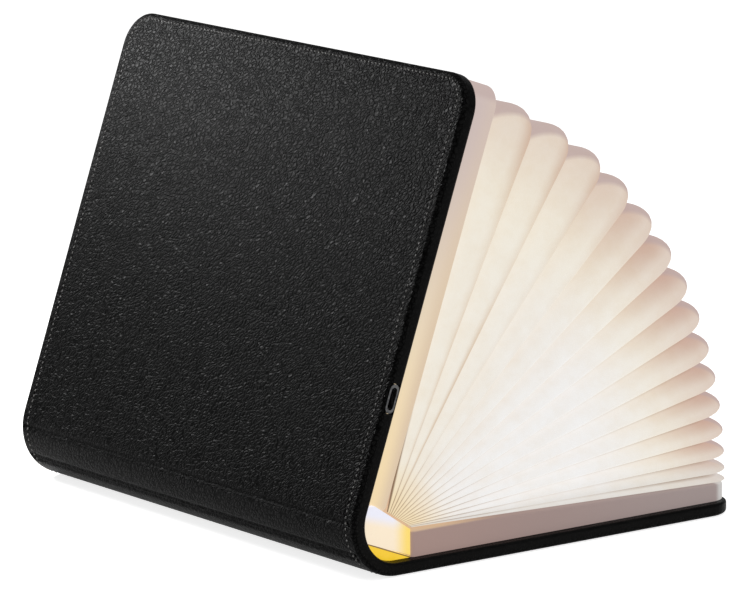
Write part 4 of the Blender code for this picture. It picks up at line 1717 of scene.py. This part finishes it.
@dataclass
class Studio:
    """The pale floor, the soft lights and the camera at the photograph's angle."""

    book: FoldedCover
    focal_pixels: float = 5565.8
    image_width: float = 748.0
    sensor: float = 36.0
    azimuth: float = math.radians(-36.968)
    elevation: float = math.radians(11.158)
    roll: float = math.radians(-0.244)
    place: Place = (-1143.88 * MM, -1619.21 * MM, 459.55 * MM)
    view_end: float = 20.0
    floor_half: float = 3.0
    floor_drop: float = 0.3 * MM
    floor_pale: float = 0.86
    floor_glow: float = 0.8
    glossy_white: float = 0.5
    world_fill: float = 0.32

    def camera(self) -> None:
        """Place the camera: its back vector comes from azimuth and elevation."""
        back = Vector(
            (
                math.sin(self.azimuth) * math.cos(self.elevation),
                -math.cos(self.azimuth) * math.cos(self.elevation),
                math.sin(self.elevation),
            )
        )
        right = Vector((0, 0, 1)).cross(back).normalized()
        up = back.cross(right)
        turned_right = right * math.cos(self.roll) + up * math.sin(self.roll)
        turned_up = up * math.cos(self.roll) - right * math.sin(self.roll)
        data = bpy.data.cameras.new("camera")
        data.sensor_width = self.sensor
        data.lens = self.focal_pixels / self.image_width * self.sensor
        data.clip_end = self.view_end
        camera = bpy.data.objects.new("camera", data)
        turn = Matrix((turned_right, turned_up, back)).transposed().to_4x4()
        place = Vector(self.place) + Vector((self.book.axis[0], 0, self.book.axis[1]))
        camera.matrix_world = Matrix.Translation(place) @ turn
        bpy.context.scene.collection.objects.link(camera)
        bpy.context.scene.camera = camera

    def soft_box(self, name: str, place: Place, target: Place, size: float, power: float) -> None:
        """Add a square soft light that faces a target and stays out of view.

        Args:
            name: the light's name.
            place: where it hangs.
            target: the point that it faces.
            size: its side.
            power: its power in watts.
        """
        data = bpy.data.lights.new(name, "AREA")
        data.size = size
        data.energy = power
        box = bpy.data.objects.new(name, data)
        box.visible_camera = False
        heading = Vector(target) - Vector(place)
        turn = heading.to_track_quat("-Z", "Y").to_matrix().to_4x4()
        box.matrix_world = Matrix.Translation(place) @ turn
        bpy.context.scene.collection.objects.link(box)

    def white_rays(self, tree: bpy.types.NodeTree, glossy_share: float) -> Sock:
        """Tell the rays that should see plain white from those that light the lamp.

        Args:
            tree: the material's or the world's nodes.
            glossy_share: how white mirrored rays see it.

        Returns:
            1 for camera and transmission rays, the share for glossy rays, 0 for others.
        """
        path = tree.nodes.new("ShaderNodeLightPath")
        camera = Sock(tree, path.outputs["Is Camera Ray"])
        glossy = Sock(tree, path.outputs["Is Glossy Ray"])
        clear = Sock(tree, path.outputs["Is Transmission Ray"])
        return 1 - (1 - camera) * (1 - glossy * glossy_share) * (1 - clear)

    def floor(self) -> None:
        """Add the floor: pale, with a glow for white rays that leaves the shadow."""
        corners = np.array([[-1, -1], [1, -1], [1, 1], [-1, 1]]) * self.floor_half
        points = np.column_stack((corners, np.full(len(corners), -self.floor_drop)))
        floor = new_mesh("floor", points, np.array([[0, 1, 2, 3]]))
        s = Shader("pale_floor")
        pale = (self.floor_pale, self.floor_pale, self.floor_pale, 1.0)
        s.feed(Base_Color=pale, Roughness=0.8, Specular_IOR_Level=0.0)
        strength = self.white_rays(s.tree, self.glossy_white) * self.floor_glow
        glow = s.node("Emission", Color=(1.0, 1.0, 1.0, 1.0), Strength=strength)
        total = s.node("AddShader")
        s.tree.links.new(s.principled.outputs[0], total.inputs[0])
        s.tree.links.new(glow.outputs[0], total.inputs[1])
        output = s.tree.nodes["Material Output"]
        s.tree.links.new(total.outputs[0], output.inputs["Surface"])
        floor.data.materials.append(s.material)
        floor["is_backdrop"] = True

    def world(self) -> None:
        """Fill the world with even light that white rays see as white."""
        world = bpy.data.worlds.new("studio")
        world.use_nodes = True
        bpy.context.scene.world = world
        tree = world.node_tree
        strength = self.white_rays(tree, 0.0) * (1 - self.world_fill) + self.world_fill
        background = tree.nodes["Background"]
        background.inputs["Color"].default_value = (1.0, 1.0, 1.0, 1.0)
        tree.links.new(strength.socket, background.inputs["Strength"])

    def make(self) -> None:
        """Set the stage: floor, world, three soft lights and the camera."""
        self.floor()
        self.world()
        self.soft_box("sheen", (-0.2, 0.36, 0.25), (-0.04, 0.1, 0.15), size=0.1, power=1.3)
        self.soft_box("fill", (0.5, -1.3, 0.9), (0.0, 0.0, 0.05), size=0.8, power=2.5)
        self.soft_box("top", (0.1, -0.2, 1.5), (0.0, 0.0, 0.08), size=0.9, power=3.0)
        self.camera()
        bpy.context.scene.view_settings.view_transform = "Standard"


def wall_papers(book: FoldedCover) -> tuple[WallPaper, WallPaper]:
    """Return the two page walls' papers, the back cover's first.

    Args:
        book: the cover's map, for the fold axis and the opening.

    Returns:
        The back wall's finish and the front wall's.
    """
    front_wall = WallPaper(
        "front_wall_paper",
        root=(1.0, 0.9, 0.72),
        middle=(0.965, 0.89, 0.77),
        fore=(0.84, 0.77, 0.75),
        direction=(math.cos(book.opening), math.sin(book.opening)),
        axis=book.axis,
        end_tint=(0.8, 0.72, 0.7),
        end_start=156 * MM,
        shade=(0.9, 0.81, 0.7),
        shade_levels=(7.0 * MM, -0.5 * MM),
        glow_share=0.78,
        base_share=0.25,
    )
    back_wall = WallPaper(
        "back_wall_paper",
        root=(0.72, 0.61, 0.58),
        middle=(0.69, 0.6, 0.58),
        fore=(0.69, 0.63, 0.62),
        direction=(1.0, 0.0),
        axis=book.axis,
        end_tint=(0.87, 0.86, 0.85),
        end_start=154.5 * MM,
        shade=(0.93, 0.8, 0.66),
        shade_levels=(-1.7 * MM, -0.8 * MM),
        glow_share=0.52,
        base_share=0.5,
    )
    return back_wall, front_wall


def dress_nodes(glow: CoreGlow) -> None:
    """Give every CAD node that stays its finish.

    Args:
        glow: the finish of the lit core, for its sleeve.
    """
    metal = {"metallic": 1.0, "cells": 900.0, "depth": 0.01 * MM}
    board = Grained("grey_board", (0.4, 0.39, 0.37), (0.52, 0.5, 0.47), 0.85, cells=500.0)
    plated = (0.72, 0.73, 0.75), (0.86, 0.86, 0.87)
    steel = Grained("plated_steel", *plated, 0.28, stretch=(1, 8, 1), **metal)
    # Painted shade: the bezel is a darker copy of the plated steel, for its dark reflections in the
    # black rim.
    bezel = Grained("bezel_steel", (0.34, 0.34, 0.35), (0.46, 0.46, 0.46), 0.3, **metal)
    pouch = {"metallic": 0.8, "cells": 300.0}
    foil = Grained("battery_foil", (0.6, 0.6, 0.62), (0.74, 0.74, 0.76), 0.35, **pouch)
    circuit = Grained("circuit_board", (0.05, 0.24, 0.12), (0.1, 0.34, 0.18), 0.4)
    plastic = Grained("black_plastic", (0.05, 0.05, 0.05), (0.1, 0.1, 0.1), 0.4)
    drawn = {"metallic": 1.0, "cells": 700.0, "depth": 0.02 * MM, "stretch": (1, 0.05, 1)}
    carrier = Grained("carrier_metal", (0.66, 0.66, 0.68), (0.78, 0.78, 0.8), 0.35, **drawn)
    strip = Grained("light_strip", (1.0, 0.86, 0.4), (1.0, 0.92, 0.6), 0.5, glow=2.0)
    magnets = [f"{cover}_magnet_{end}" for cover in ("back", "front") for end in ("near", "far")]
    chosen = {
        board: ("back_cover_board", "front_cover_board"),
        steel: ("usb_shell", *magnets),
        bezel: ("port_bezel",),
        foil: ("battery_near", "battery_far"),
        circuit: ("led_board", "charge_board"),
        plastic: ("charge_chip", "lid_sensor", "usb_tongue"),
        carrier: ("led_carrier",),
        strip: ("led_strip",),
        glow: ("core_sleeve",),
    }
    for finish, names in chosen.items():
        material = finish.material()
        for name in names:
            node = bpy.data.objects[name]
            node.data.materials.clear()
            node.data.materials.append(material)
        log.info("%s on %s", finish.name, ", ".join(names))


def main() -> None:
    """Set the studio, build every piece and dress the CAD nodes."""
    logging.basicConfig(level=logging.INFO, format="%(name)s: %(message)s")
    book = FoldedCover()
    Studio(book).make()
    wrap = LeatherWrap(book)
    layers = InnerLayers(wrap)
    lining = Grained("black_lining", (0.05, 0.05, 0.05), (0.1, 0.1, 0.1), 0.75)
    filler = Grained("spine_filler_board", (0.4, 0.39, 0.37), (0.52, 0.5, 0.47), 0.85, cells=500.0)
    back_paper, front_paper = wall_papers(book)
    back_wall = PageWall(
        book,
        "back_wall_paper_block",
        "back_page_wall",
        root=14.1 * MM,
        root_height=10.2 * MM,
        fore_height=6.3 * MM,
    )
    front_wall = PageWall(
        book,
        "front_wall_paper_block",
        "front_page_wall",
        root=10.5 * MM,
        root_height=10.8 * MM,
        fore_height=11.8 * MM,
        root_slant=2.4 * MM,
    )
    glow = CoreGlow("core_glow", book.axis)
    pieces = [
        wrap.make(Leather().material()),
        Stitching(wrap).make(Thread().material()),
        layers.lining(lining.material()),
        layers.filler(filler.material()),
        Bellows(book).make(LitPaper().material()),
        back_wall.make(back_paper.material(), False),
        front_wall.make(front_paper.material(), True),
        CoreEnds(book).make(glow.material()),
    ]
    dress_nodes(glow)
    for piece in pieces:
        log.info("%s: %d points", piece.name, len(piece.data.vertices))
    boxes = {"cad": CAD_BOX, "visual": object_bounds()}
    plain = {key: np.array(value).round(5).tolist() for key, value in boxes.items()}


if __name__ == "__main__":
    main()
